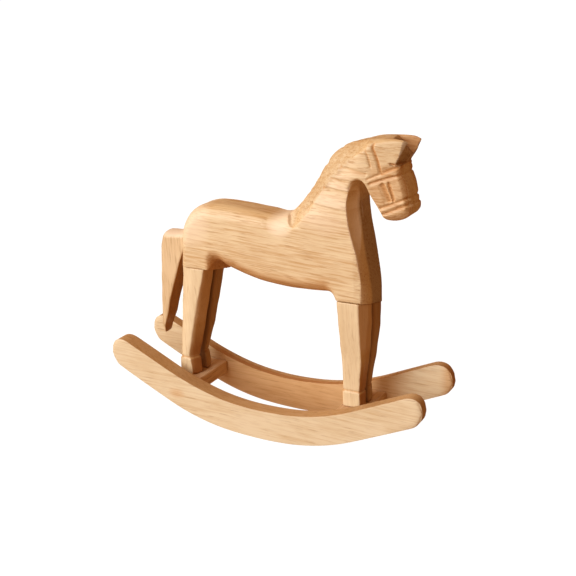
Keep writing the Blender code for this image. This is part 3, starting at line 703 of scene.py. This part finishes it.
def body_painted_light(place, facing):
    """How much paler each place is painted: painted sheen on the neck, rump and saddle, and
    painted light on the breast's right hollow, the throat and the front of the face.
    """
    x, y, z = place.T
    pale = 0
    for at, reach, amount in PAINTED_SHEEN:
        pale = pale + amount * oval(x, z, at, (reach, reach)) * (1 - on_mane(x, z))
    low, high = BREAST_PAINTED_LIGHT_FADES
    hollow = BREAST_PAINTED_LIGHT * at_right_edge(place) * ramp(z, *low) * ramp(z, *high)
    pale = pale + on_breast(place, facing) * (hollow + THROAT_PAINTED_LIGHT * ramp(z, *THROAT_PAINTED_LIGHT_FADE))
    face = (x > FACE_FROM) & (np.abs(y) < half_width(x) - FACE_RIM)
    return pale + FACE_PAINTED_LIGHT * (face & (z < EAR_SHAVE_FROM - BROW_RIM))


def body_shade_and_light(place, facing):
    """Above 0 where painted shade or tint darkens the wood, and below 0 where painted light
    makes it paler.
    """
    return body_shade_and_tint(place, facing) - body_painted_light(place, facing)


def make_body():
    low, high = node_box("body")
    low, high = low - BODY_MARGIN, high + BODY_MARGIN
    axes = (axis((low[0], HEAD_FROM[0], BODY_STEP), (HEAD_FROM[0], high[0], HEAD_STEP)),
            axis((low[1], high[1], HEAD_STEP * ACROSS_STEP)),
            axis((low[2], HEAD_FROM[1], BODY_STEP), (HEAD_FROM[1], high[2], HEAD_STEP)))
    body = mesh_object("carved_body", *skin(axes, body_depth(axes)))
    # painted shade, painted light and stain, kept on the mesh for the wood's colour
    note(body, "cut", body_shade_and_light)
    note(body, "stain_and_shade", body_stain_and_shade)
    wobble(body, *BODY_WOBBLE)
    dimple(body, lambda x, z: on_mane(x, z, MANE_PITS_FADE), *MANE_PITS)
    return body


# ---- legs and tail -------------------------------------------------------------------

def stations_at(stations, z):
    """The values of a list of stations at each height."""
    table = np.array(sorted(stations))
    return [np.interp(z, table[:, 0], column) for column in table.T[1:]]


def ring_cut(z, cut):
    """Depth of a V cut that runs round a leg at one height."""
    height, depth, above, below = cut
    width = np.where(z > height, above, below)
    return depth * np.clip(1 - np.abs(z - height) / width, 0, None)


def leg_depth(axes, stations, side, seam, hoof_cut):
    """A leg; on the right side its outer front corner has a chamfer of its own."""
    x, y, z = grid(axes)
    across = y * side
    (back, front, inner, outer, long_x, long_y, short,
     slant_right, slant_left, corner) = stations_at(stations, z)
    slant = slant_right if side < 0 else slant_left
    front = front - slant * np.clip((across - inner) / (outer - inner), 0, 1)
    bite = ring_cut(z, hoof_cut)
    behind, ahead = x - back - bite, front - x - bite
    inwards, outwards = across - inner - bite * HOOF_INNER_SHARE, outer - across - bite
    depth = np.minimum(np.minimum(behind, ahead), np.minimum(inwards, outwards))
    corner = corner if side < 0 else short
    long_cut = (behind / long_x + outwards / long_y - 1) * long_x * long_y
    depth = soft_min(depth, long_cut / np.hypot(long_x, long_y), LONG_ROUND)
    for a, b, cut in ((behind, inwards, short), (ahead, inwards, short),
                      (ahead, outwards * CORNER_SLANT, corner)):
        depth = soft_min(depth, (a + b - cut) / math.sqrt(2), KNIFE_ROUND)
    top = seam - SEAM_SLOPE * y - SEAM_GAP
    depth = np.minimum(depth, top - z)
    return np.minimum(depth, z - min(s[0] for s in stations))


def even_axes(name):
    """Grid lines for a leg or the tail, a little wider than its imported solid."""
    return [axis((a - LEG_MARGIN, b + LEG_MARGIN, LEG_STEP)) for a, b in zip(*node_box(name))]


def make_leg(name, stations, side, seam, hoof_cut, seed):
    axes = even_axes(name)
    depth = leg_depth(axes, stations, side, seam, hoof_cut)
    leg = mesh_object("carved_" + name, *skin(axes, depth))

    def shares(place, facing):
        """How far each place is low down, on the front, and on the inner side."""
        return (ramp(place[:, 2], *LEG_LOW_FADE), ramp(facing[:, 0], *LEG_FRONT_FADE),
                ramp(-facing[:, 1] * side, *LEG_INNER_FADE))

    # painted shade low on the right legs' fronts, in the hoof groove and on all inner sides;
    # painted light higher up those fronts
    def cuts(place, facing):
        low, front, inner = shares(place, facing)
        cut = np.maximum(ring_cut(place[:, 2], hoof_cut), LEG_INNER_SHADE * inner)
        front = (side < 0) * front * (LEG_LOW_SHADE * low - LEG_FRONT_LIGHT)
        return np.where(cut > LEAST_CUT, cut, front)

    # painted shade: the left legs all over, the right legs low on their fronts, all inner sides
    def stain_and_shade(place, facing):
        low, front, inner = shares(place, facing)
        dark = 1.0 if side > 0 else LEG_FRONT_SHADE * front * low
        return np.maximum(LEG_SHADE * dark, inner)

    note(leg, "cut", cuts)
    note(leg, "stain_and_shade", stain_and_shade)
    wobble(leg, *LEG_WOBBLE, seed)
    return leg


def tail_depth(axes):
    """A wedge with eased upright edges and a top that falls away to both sides."""
    x, y, z = grid(axes)
    back, front, half = stations_at(TAIL, z)
    behind, ahead, beside = x - back, front - x, half - np.abs(y)
    depth = np.minimum(np.minimum(behind, ahead), beside)
    for edge, ease in zip((behind, ahead), TAIL_EASE):
        depth = soft_min(depth, (edge + beside - ease) / math.sqrt(2), ease * TAIL_ROUND)
    height, climb, fall = TAIL_TOP
    top = height + climb * (x - TAIL_TOP_AT) - fall * y ** 2
    depth = soft_min(depth, top - z, TAIL_TOP_ROUND)
    return np.minimum(depth, z - TAIL[-1][0])


def make_tail():
    axes = even_axes("tail")
    tail = mesh_object("carved_tail", *skin(axes, tail_depth(axes)))
    # painted light on the tail's upward faces
    note(tail, "cut", lambda place, facing: -TAIL_TOP_LIGHT * ramp(facing[:, 2], *TAIL_TOP_LIGHT_FADE))
    wobble(tail, *TAIL_WOBBLE)
    return tail


# ---- the rockers, by Geometry Nodes --------------------------------------------------

class Tree:
    """A node tree under construction: nodes are added in order and linked by value."""

    def __init__(self, tree):
        self.tree = tree

    def add(self, kind, *values, **settings):
        node = self.tree.nodes.new(kind)
        node.location = (len(self.tree.nodes) * 40, 0)
        for key, value in settings.items():
            setattr(node, key, value)
        for i, value in enumerate(values):
            if value is not None:
                self.feed(node.inputs[i], value)
        return node

    def feed(self, socket, value):
        if isinstance(value, bpy.types.NodeSocket):
            self.tree.links.new(value, socket)
        else:
            socket.default_value = value

    def math(self, operation, *values, clamp=False):
        kind = "ShaderNodeMath"
        return self.add(kind, *values, operation=operation, use_clamp=clamp).outputs[0]

    def plus(self, a, b, clamp=False):
        return self.math("ADD", a, b, clamp=clamp)

    def minus(self, a, b, clamp=False):
        return self.math("SUBTRACT", a, b, clamp=clamp)

    def times(self, a, b, clamp=False):
        return self.math("MULTIPLY", a, b, clamp=clamp)

    def over(self, a, b):
        return self.math("DIVIDE", a, b)

    def square(self, a):
        return self.math("POWER", a, 2.0)

    def at_least(self, least, a):
        return self.math("MAXIMUM", least, a)

    def at_most(self, most, a):
        return self.math("MINIMUM", most, a)


def rocker_tree():
    """A bar bent along two arcs, deeper at its ends, with rounded tips."""
    group = bpy.data.node_groups.new("bent rocker", "GeometryNodeTree")
    group.interface.new_socket("Geometry", in_out="OUTPUT", socket_type="NodeSocketGeometry")
    names = ["Length", "Outer Face", "Thickness Rear", "Thickness Front", "Middle Radius",
             "Middle Half", "Outer Radius", "Bend", "Swell At", "Depth Rear",
             "Depth Middle", "Depth Front", "Round Low Rear", "Round High Rear",
             "Round Low Front", "Round High Front", "Tip Ease", "Tip Thinning"]
    for name in names:
        group.interface.new_socket(name, in_out="INPUT", socket_type="NodeSocketFloat")
    group.interface.new_socket("Finish", in_out="INPUT", socket_type="NodeSocketMaterial")
    t = Tree(group)
    m, plus, minus, times, over = t.math, t.plus, t.minus, t.times, t.over
    square, at_least, at_most = t.square, t.at_least, t.at_most
    given = t.add("NodeGroupInput").outputs
    bend = given["Bend"]

    bar = t.add("GeometryNodeMeshCube", (1.0, 1.0, 1.0), *ROCKER_ROWS).outputs[0]
    place = t.add("GeometryNodeInputPosition").outputs[0]
    u, v, w = t.add("ShaderNodeSeparateXYZ", place).outputs
    x = times(u, given["Length"])
    front = m("GREATER_THAN", x, 0.0)

    def either(what):
        """The rear end's value or the front end's."""
        rear, ahead = given[what + " Rear"], given[what + " Front"]
        return plus(rear, times(front, minus(ahead, rear)))

    # the lower edge: a flat arc in the middle, a tighter one, then a straight run
    half, radius, tighter = (given[name] for name in (
        "Middle Half", "Middle Radius", "Outer Radius"))
    out = m("ABSOLUTE", x)
    near = at_most(out, half)
    flat_rise = minus(radius, m("SQRT", minus(square(radius), square(near))))
    turn = m("ARCSINE", over(half, radius))
    span = times(tighter, minus(m("SINE", bend), m("SINE", turn)))
    bend_at = plus(half, span)
    reach = at_least(0.0, minus(at_most(out, bend_at), half))
    angle = m("ARCSINE", plus(m("SINE", turn), over(reach, tighter)))
    arc_rise = times(tighter, minus(m("COSINE", turn), m("COSINE", angle)))
    straight = times(at_least(0.0, minus(out, bend_at)), m("TANGENT", bend))
    foot = plus(plus(flat_rise, arc_rise), straight)

    share = at_most(1.0, over(out, given["Swell At"]))
    share = times(square(share), minus(3.0, times(share, 2.0)))
    middle = given["Depth Middle"]
    deep = plus(middle, times(minus(either("Depth"), middle), share))

    # the tips: each corner is taken back along a quarter of an ellipse
    from_end = minus(times(given["Length"], 0.5), out)

    def corner(radius, edge_turn):
        """A fillet where the upright end meets an edge that climbs at the bend."""
        tall = times(radius, m("TANGENT", times(edge_turn, 0.5)))
        long = times(tall, m("COSINE", bend))
        back = over(at_least(0.0, minus(long, from_end)), long)
        return times(tall, minus(1.0, m("SQRT", at_least(0.0, minus(1.0, square(back))))))

    low = corner(either("Round Low"), minus(math.pi / 2, bend))
    high = corner(either("Round High"), plus(math.pi / 2, bend))
    bottom = plus(foot, low)
    top = minus(plus(foot, deep), high)
    z = plus(bottom, times(minus(top, bottom), plus(w, 0.5)))

    # the flat sides roll over towards the tip's own outline
    ease = given["Tip Ease"]
    along = at_least(0.0, minus(1.0, over(from_end, ease)))
    to_edge = times(minus(0.5, m("ABSOLUTE", w)), minus(top, bottom))
    reach, eases = TIP_EDGE_FADE
    near_tip = minus(reach, over(from_end, times(ease, eases)), clamp=True)
    near_tip = times(near_tip, TIP_EDGE_SHARE)
    upright = times(at_least(0.0, minus(1.0, over(to_edge, ease))), near_tip)
    roll = at_most(1.0, plus(square(along), square(upright)))
    thin = times(given["Tip Thinning"], minus(1.0, m("SQRT", minus(1.0, roll))))
    thin = times(thin, LEAST_LEFT)

    thick_rear, thick_front = given["Thickness Rear"], given["Thickness Front"]
    thick = plus(thick_rear, times(plus(u, 0.5), minus(thick_front, thick_rear)))
    across = times(minus(thick, times(thin, 2.0)), minus(0.5, v))
    y = minus(minus(given["Outer Face"], thin), across)
    moved = t.add("ShaderNodeCombineXYZ", x, y, z).outputs[0]
    bent = t.add("GeometryNodeSetPosition", bar, True, moved).outputs[0]
    whole = t.add("GeometryNodeRealizeInstances", bent).outputs[0]
    finished = t.add("GeometryNodeSetMaterial", whole, True, given["Finish"]).outputs[0]
    t.add("NodeGroupOutput", finished)
    return group


def grown(name, group, values):
    """The plain mesh that a Geometry Nodes tree makes from these inputs."""
    holder = mesh_object(name + "_holder", np.zeros((0, 3)), [])
    modifier = holder.modifiers.new("grow", "NODES")
    modifier.node_group = group
    keys = {item.name: item.identifier for item in group.interface.items_tree
            if item.item_type == "SOCKET" and item.in_out == "INPUT"}
    for key, value in values.items():
        modifier[keys[key]] = value
    bpy.context.view_layer.update()
    ready = holder.evaluated_get(bpy.context.evaluated_depsgraph_get())
    mesh = bpy.data.meshes.new_from_object(ready)
    holder.modifiers.clear()
    bpy.data.objects.remove(holder)
    mesh.name = name
    return put(name, mesh)


def rocker_tint_and_shade(place, tag):
    """How strongly each place of a rocker is tinted: darker front tips, a knot in the right
    one, and painted shade under the horse on the left one.
    """
    x, y, z = place.T
    tint = TIP_TINT[tag] * ramp(x, *TIP_TINT_FADE)
    if tag == "left":
        # painted shade on the inner face, under the horse
        behind, ahead = UNDER_HORSE_SHADE_FADES
        stretch = UNDER_HORSE_SHADE * ramp(x, *behind) * ramp(x, *ahead)
        return np.maximum(tint, np.where(y < UNDER_HORSE_SHADE_INSIDE, stretch, 0))
    return np.maximum(tint, KNOT_TINT * oval(x, z, KNOT_AT, KNOT_SIZE))


def make_rocker(tag, group, finish):
    low, high = node_box("rocker_" + tag)
    values = {
        "Length": high[0] - low[0], "Outer Face": high[1] if tag == "left" else -low[1],
        "Middle Radius": MIDDLE_RADIUS, "Middle Half": MIDDLE_HALF,
        "Outer Radius": ROCKER_RADIUS, "Bend": math.radians(ROCKER_BEND),
        "Swell At": SWELL_AT, "Tip Ease": TIP_EASE, "Tip Thinning": TIP_THINNING,
        "Finish": finish}
    values["Depth Rear"], values["Depth Middle"], values["Depth Front"] = ROCKER_DEPTH[tag]
    values["Thickness Rear"], values["Thickness Front"] = ROCKER_THICK[tag]
    for end, radii in zip(("Rear", "Front"), TIP_ROUND[tag]):
        values["Round Low " + end], values["Round High " + end] = radii
    rocker = grown("sawn_rocker_" + tag, group, values)
    rocker.data.transform(Matrix.Diagonal((MM, MM if tag == "left" else -MM, MM, 1.0)))
    if tag == "right":
        rocker.data.flip_normals()
    note(rocker, "cut", lambda place, facing: rocker_tint_and_shade(place, tag))
    ease = rocker.modifiers.new("worn edges", "BEVEL")
    ease.width = ROCKER_EASE * MM
    ease.segments = ROCKER_EASE_STEPS
    ease.limit_method = "ANGLE"
    ease.angle_limit = math.radians(ROCKER_SHARP)
    rocker.data.shade_smooth()
    return rocker


# ---- finishes ------------------------------------------------------------------------

# The patterns in the wood: how far they are drawn out along the fibres (less is longer),
# features to a millimetre, detail, roughness, and a shift that keeps them apart.
SWAY = (0.3, 0.045, 2.0, 0.5, 0.0)           # bends the rings,
RING_SWAY = (11.0, 8.0)                      # by so many millimetres
CLOUD = (0.45, 0.05, 2.0, 0.5, 40.0)         # broad paler and darker areas
MOTTLE = (0.5, 0.16, 3.0, 0.6, 77.0)         # and smaller ones
STREAK = (0.035, 1.25, 2.0, 0.5, 0.0)        # long lines of early wood
FIBRE = (0.05, 2.1, 2.0, 0.6, 9.0)           # fine lines
BREAKS = (0.12, 0.5, 1.0, 0.5, 61.0)         # where the rings show
VESSEL = (0.085, 1.15, 1.0, 0.4, 23.0)       # open pores
# The values between which each of them steps from none to all.
RING_STEP = (0.9, 1.0)
STREAK_STEP = (0.49, 0.60)
FIBRE_STEP = (0.42, 0.68)
BREAKS_STEP = (0.36, 0.60)
VESSEL_STEP = (0.60, 0.67)
SAWN_SHADE_STEP = (0.45, 0.97)         # of how far a face looks sideways
CUT_STEP = (0.05, 0.8)           # of the cut attribute: a cut's depth, painted shade and tint
# How much each of them darkens the wood.
STREAK_SHARE = 0.42
FIBRE_SHARE = 0.20
RING_SHARE = 0.45
CLOUD_SHARE = (0.45, 0.9)        # less its middle value, times this
MOTTLE_SHARE = (0.5, 0.55)
PORES_OFF_STREAKS = 0.35         # share of the pores that lie off the streaks
PORE_DEPTH = 0.5
CUT_SHARE = 0.8
LINE_RELIEF = 0.3                # the lines stand up by this share of a pore's depth
BUMP_STRENGTH = 0.22
BUMP_HEIGHT = 0.2
ROUGHNESS = (0.40, 0.16)         # of clear wood, and how much more where it is darkest
GLOSS = 0.4
WOOD_SEED_STEPS = (17.0, 5.0)

CUT_AND_SHADE_TINT = (0.84, 0.58, 0.36)    # of painted shade in cuts, on edges, under the belly and between parts, and of the tinted muzzle, rocker tips and knot,
PAINTED_LIGHT_TINT = (0.93, 0.78, 0.58)   # of painted light and painted sheen,
STAIN_AND_SHADE_TINT = (0.58, 0.56, 0.62)  # and of painted shade, and of the mane where the oil stayed dark
# Colours of each wood: between the streaks, in them, in the pores, and the tint of its
# sawn faces, which is partly painted shade on faces turned from the light.
HONEY = ((0.79, 0.64, 0.40), (0.56, 0.33, 0.13), (0.40, 0.20, 0.07), (0.98, 0.90, 0.78))
PALE = ((0.81, 0.665, 0.43), (0.64, 0.46, 0.24), (0.38, 0.22, 0.10), (0.79, 0.56, 0.32))
TAN = ((0.75, 0.57, 0.34), (0.55, 0.36, 0.17), (0.32, 0.17, 0.06), (0.54, 0.31, 0.10))
BONE = ((0.79, 0.67, 0.455), (0.59, 0.40, 0.19), (0.36, 0.20, 0.09), (0.72, 0.52, 0.34))
TOASTED = ((0.80, 0.60, 0.40), (0.58, 0.38, 0.20), (0.24, 0.12, 0.05), (0.90, 0.80, 0.68))
ALONG_X = (0.0, 0.0, 0.0)
ALONG_BACK = (0.0, math.radians(-3.0), 0.0)
ALONG_Y = (0.0, 0.0, math.radians(90.0))
ALONG_Z = (0.0, math.radians(90.0), 0.0)
# Each wood: its colours, how clearly the grain shows (0 to 1), what turns the pattern's
# X axis onto the fibres, the width of a ring, where the middle of the trunk lay across
# the fibres, and a seed.
WOODS = {
    "honey_wood": (HONEY, 0.9, ALONG_BACK, 2.7, (-30.0, 40.0), 1),
    "leg_wood": (PALE, 0.5, ALONG_Z, 3.0, (-40.0, 30.0), 2),
    "tail_wood": (TAN, 0.7, ALONG_Z, 3.0, (-40.0, 30.0), 3),
    "rocker_wood": (BONE, 0.65, ALONG_X, 3.2, (-50.0, 70.0), 4),
    "slat_wood": (TOASTED, 0.8, ALONG_Y, 2.4, (-30.0, 40.0), 5)}


def wood(name):
    """Oiled wood whose grain runs along one direction through the whole piece."""
    colours, strength, grain, ring_width, pith, seed = WOODS[name]
    light, dark, pore, sawn_and_shade_tint = colours
    material = bpy.data.materials.new(name)
    material.use_nodes = True
    material.node_tree.nodes.clear()
    t = Tree(material.node_tree)
    m, plus, minus, times = t.math, t.plus, t.minus, t.times
    place = t.add("ShaderNodeTexCoord").outputs["Object"]
    laid = t.add("ShaderNodeMapping", place, None, grain, (1 / MM,) * 3).outputs[0]

    def noise_at(stretch, scale, detail, rough, shift):
        """Noise drawn out along the fibres."""
        step, small_step = WOOD_SEED_STEPS
        away = (shift + seed * step, seed * small_step, shift)
        at = t.add("ShaderNodeMapping", laid, away, None, (stretch, 1.0, 1.0)).outputs[0]
        return t.add("ShaderNodeTexNoise", at, None, scale, detail, rough).outputs[0]

    def step_up(value, low, high):
        """0 below low, 1 above high."""
        node = t.add("ShaderNodeMapRange", value, low, high, 0.0, 1.0)
        node.interpolation_type = "SMOOTHSTEP"
        return node.outputs[0]

    def blend(share, first, second, mode="MIX"):
        node = t.add("ShaderNodeMix", data_type="RGBA", blend_type=mode)
        for socket, value in ((0, share), (6, first), (7, second)):
            if isinstance(value, tuple):
                value = (*value, 1.0)
            t.feed(node.inputs[socket], value)
        return node.outputs[2]

    def uneven(pattern, middle, share):
        return times(minus(noise_at(*pattern), middle), share)

    sway = minus(noise_at(*SWAY), 0.5)
    across = t.add("ShaderNodeSeparateXYZ", laid).outputs
    off_y = plus(minus(across[1], pith[0]), times(sway, RING_SWAY[0]))
    off_z = plus(minus(across[2], pith[1]), times(sway, RING_SWAY[1]))
    radius = m("SQRT", plus(t.square(off_y), t.square(off_z)))
    ring = m("FRACT", t.over(radius, ring_width))
    late = times(t.square(ring), minus(1.0, step_up(ring, *RING_STEP)))

    streak = step_up(noise_at(*STREAK), *STREAK_STEP)
    fibre = step_up(noise_at(*FIBRE), *FIBRE_STEP)
    broken = step_up(noise_at(*BREAKS), *BREAKS_STEP)
    lines = plus(times(streak, STREAK_SHARE), times(fibre, FIBRE_SHARE))
    lines = plus(lines, times(times(late, broken), RING_SHARE))
    patches = plus(uneven(CLOUD, *CLOUD_SHARE), uneven(MOTTLE, *MOTTLE_SHARE))
    shade = plus(times(lines, strength), patches, clamp=True)
    colour = blend(shade, light, dark)

    vessel = step_up(noise_at(*VESSEL), *VESSEL_STEP)
    vessel = times(vessel, plus(PORES_OFF_STREAKS, times(streak, 1 - PORES_OFF_STREAKS)))
    vessel = times(vessel, strength)
    colour = blend(times(vessel, PORE_DEPTH), colour, pore)

    # faces that the saw cut, everything but the flat sides, drank more oil; the tint is partly
    # painted shade on faces turned from the light
    normal = t.add("ShaderNodeNewGeometry").outputs["Normal"]
    sideways = m("ABSOLUTE", t.add("ShaderNodeSeparateXYZ", normal).outputs[1])
    sawn = minus(1.0, step_up(sideways, *SAWN_SHADE_STEP))
    colour = blend(sawn, colour, sawn_and_shade_tint, "MULTIPLY")
    # the cut attribute: below 0 painted light, above 0 painted shade and tint
    cut = t.add("ShaderNodeAttribute", attribute_name="cut").outputs["Fac"]
    colour = blend(times(cut, -1.0, clamp=True), colour, PAINTED_LIGHT_TINT)
    cut_share = times(step_up(cut, *CUT_STEP), CUT_SHARE)
    colour = blend(cut_share, colour, CUT_AND_SHADE_TINT, "MULTIPLY")
    # the stain attribute: painted shade, and the mane's dark oil
    stain_and_shade = t.add("ShaderNodeAttribute", attribute_name="stain_and_shade").outputs["Fac"]
    colour = blend(stain_and_shade, colour, STAIN_AND_SHADE_TINT, "MULTIPLY")

    relief = minus(times(plus(fibre, streak), LINE_RELIEF), vessel)
    bump = t.add("ShaderNodeBump")
    t.feed(bump.inputs["Strength"], BUMP_STRENGTH)
    t.feed(bump.inputs["Distance"], BUMP_HEIGHT * MM)
    t.feed(bump.inputs["Height"], relief)

    shader = t.add("ShaderNodeBsdfPrincipled")
    smooth, more = ROUGHNESS
    t.feed(shader.inputs["Base Color"], colour)
    t.feed(shader.inputs["Roughness"], plus(smooth, times(shade, more)))
    t.feed(shader.inputs["Normal"], bump.outputs[0])
    shader.inputs["Specular IOR Level"].default_value = GLOSS
    t.add("ShaderNodeOutputMaterial", shader.outputs[0])
    return material


def finish_piece(thing, node, material):
    thing.data.materials.clear()
    thing.data.materials.append(material)
    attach(thing, "root")
    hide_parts(node)


# ---- stage ---------------------------------------------------------------------------

# The backdrop, in metres: its wall's distance from the middle, the radius of the sweep
# up to it, and its height.
WALL_AT = 3.0
COVE = 0.6
WALL_TOP = 4.0
COVE_TURNS = range(10, 91, 10)   # degrees round the sweep at which it has an edge
FLOOR_INNER = 1.0                # radius of the floor's flat disc
WALL_SIDES = 48
CARD_GREY = 0.12


def make_backdrop():
    """A pale floor that sweeps up into a wall all round."""
    profile = [(FLOOR_INNER, 0.0), (WALL_AT - COVE, 0.0)]
    profile += [(WALL_AT - COVE + COVE * math.sin(a), COVE - COVE * math.cos(a))
                for a in np.radians(COVE_TURNS)]
    profile.append((WALL_AT, WALL_TOP))
    points = []
    faces = []
    for k in range(WALL_SIDES):
        turn = 2 * math.pi * k / WALL_SIDES
        points += [(r * math.cos(turn), r * math.sin(turn), z) for r, z in profile]
    rows = len(profile)
    for k in range(WALL_SIDES):
        here, there = k * rows, (k + 1) % WALL_SIDES * rows
        for i in range(rows - 1):
            faces.append((here + i, here + i + 1, there + i + 1, there + i))
    faces.append([k * rows for k in range(WALL_SIDES)])
    mesh = bpy.data.meshes.new("floor")
    mesh.from_pydata(points, [], faces)
    mesh.shade_smooth()
    floor = put("floor", mesh)
    material = bpy.data.materials.new("white_card")
    material.use_nodes = True
    shader = material.node_tree.nodes["Principled BSDF"]
    for socket, value in (("Base Color", (CARD_GREY, CARD_GREY, CARD_GREY, 1.0)),
                          ("Roughness", 1.0), ("Specular IOR Level", 0.0),
                          ("Emission Color", (1.0, 1.0, 1.0, 1.0)),
                          ("Emission Strength", 1.0)):
        shader.inputs[socket].default_value = value
    mesh.materials.append(material)
    floor.visible_diffuse = False
    floor.visible_glossy = False
    floor.visible_shadow = False


LAMP_AIM = (0.0, 0.0, 0.08)      # all lamps look at the horse's belly
LAMP_DISTANCE = 1.6
ROOM_COLOUR = (1.0, 0.45, 0.16, 1.0)
ROOM_LIGHT = (-0.3, 0.9, 0.40, 0.29)     # dimmer in front: between two x, the strengths


def area_light(name, direction, size, power, colour):
    light = bpy.data.lights.new(name, "AREA")
    light.energy = power
    light.shape = "DISK"
    light.size = size
    light.color = colour
    lamp = put(name, light)
    towards = Vector(direction).normalized()
    lamp.location = Vector(LAMP_AIM) + towards * LAMP_DISTANCE
    lamp.rotation_euler = towards.to_track_quat("Z", "Y").to_euler()
    lamp.visible_camera = False
    return lamp


def make_lights():
    area_light("window", direction=(-0.46, -0.78, 0.45), size=1.9, power=35.0,
               colour=(1.0, 1.0, 1.0))
    behind = area_light("from_behind", direction=(-0.40, 0.90, 0.15), size=1.0, power=10.0,
                        colour=(1.0, 0.94, 0.86))
    behind.visible_glossy = False
    world = bpy.data.worlds.new("warm_room")
    world.use_nodes = True
    t = Tree(world.node_tree)
    sky = world.node_tree.nodes["Background"]
    sky.inputs["Color"].default_value = ROOM_COLOUR
    way = t.add("ShaderNodeTexCoord").outputs["Generated"]
    ahead = t.add("ShaderNodeSeparateXYZ", way).outputs[0]
    dimmed = t.add("ShaderNodeMapRange", ahead, *ROOM_LIGHT).outputs[0]
    t.feed(sky.inputs["Strength"], dimmed)
    bpy.context.scene.world = world


CAMERA_TARGET = (11.57, 0.0, 83.37)
CAMERA_DISTANCE = 546.3
CAMERA_TURN = 31.44              # degrees round from the horse's right side to its head
CAMERA_RISE = 20.1
CAMERA_ROLL = -3.21
CAMERA_LENS = 62.5
CAMERA_SENSOR = 36.0
CAMERA_NEAREST = 0.01


def make_camera():
    turn, rise = math.radians(CAMERA_TURN), math.radians(CAMERA_RISE)
    back = Vector((math.sin(turn) * math.cos(rise), -math.cos(turn) * math.cos(rise),
                   math.sin(rise)))
    data = bpy.data.cameras.new("camera")
    data.lens = CAMERA_LENS
    data.sensor_width = CAMERA_SENSOR
    data.clip_start = CAMERA_NEAREST
    camera = put("camera", data)
    camera.location = (Vector(CAMERA_TARGET) + back * CAMERA_DISTANCE) * MM
    aim = Euler((math.radians(90.0) - rise, 0.0, turn)).to_matrix()
    roll = Matrix.Rotation(math.radians(CAMERA_ROLL), 3, "Z")
    camera.rotation_euler = (aim @ roll).to_euler()
    bpy.context.scene.camera = camera


def main():
    woods = {name: wood(name) for name in WOODS}
    finish_piece(make_body(), "body", woods["honey_wood"])
    finish_piece(make_tail(), "tail", woods["tail_wood"])
    bend = rocker_tree()
    seed = FIRST_LEG_SEED
    for side, tag in ((-1, "right"), (1, "left")):
        for kind, stations, seam in (("hind", HIND_LEG, HIND_SEAM),
                                     ("front", FRONT_LEG, FRONT_SEAM)):
            name = "leg_%s_%s" % (kind, tag)
            leg = make_leg(name, stations, side, seam, HOOF_CUT[kind], seed)
            finish_piece(leg, name, woods["leg_wood"])
            seed += 1
        rocker = make_rocker(tag, bend, woods["rocker_wood"])
        finish_piece(rocker, "rocker_" + tag, woods["rocker_wood"])
    for name in ("slat_front", "slat_rear"):
        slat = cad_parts[name]
        slat.data.materials.clear()
        slat.data.materials.append(woods["slat_wood"])

    make_backdrop()
    make_lights()
    make_camera()
    bpy.context.scene.view_settings.view_transform = "Standard"


main()
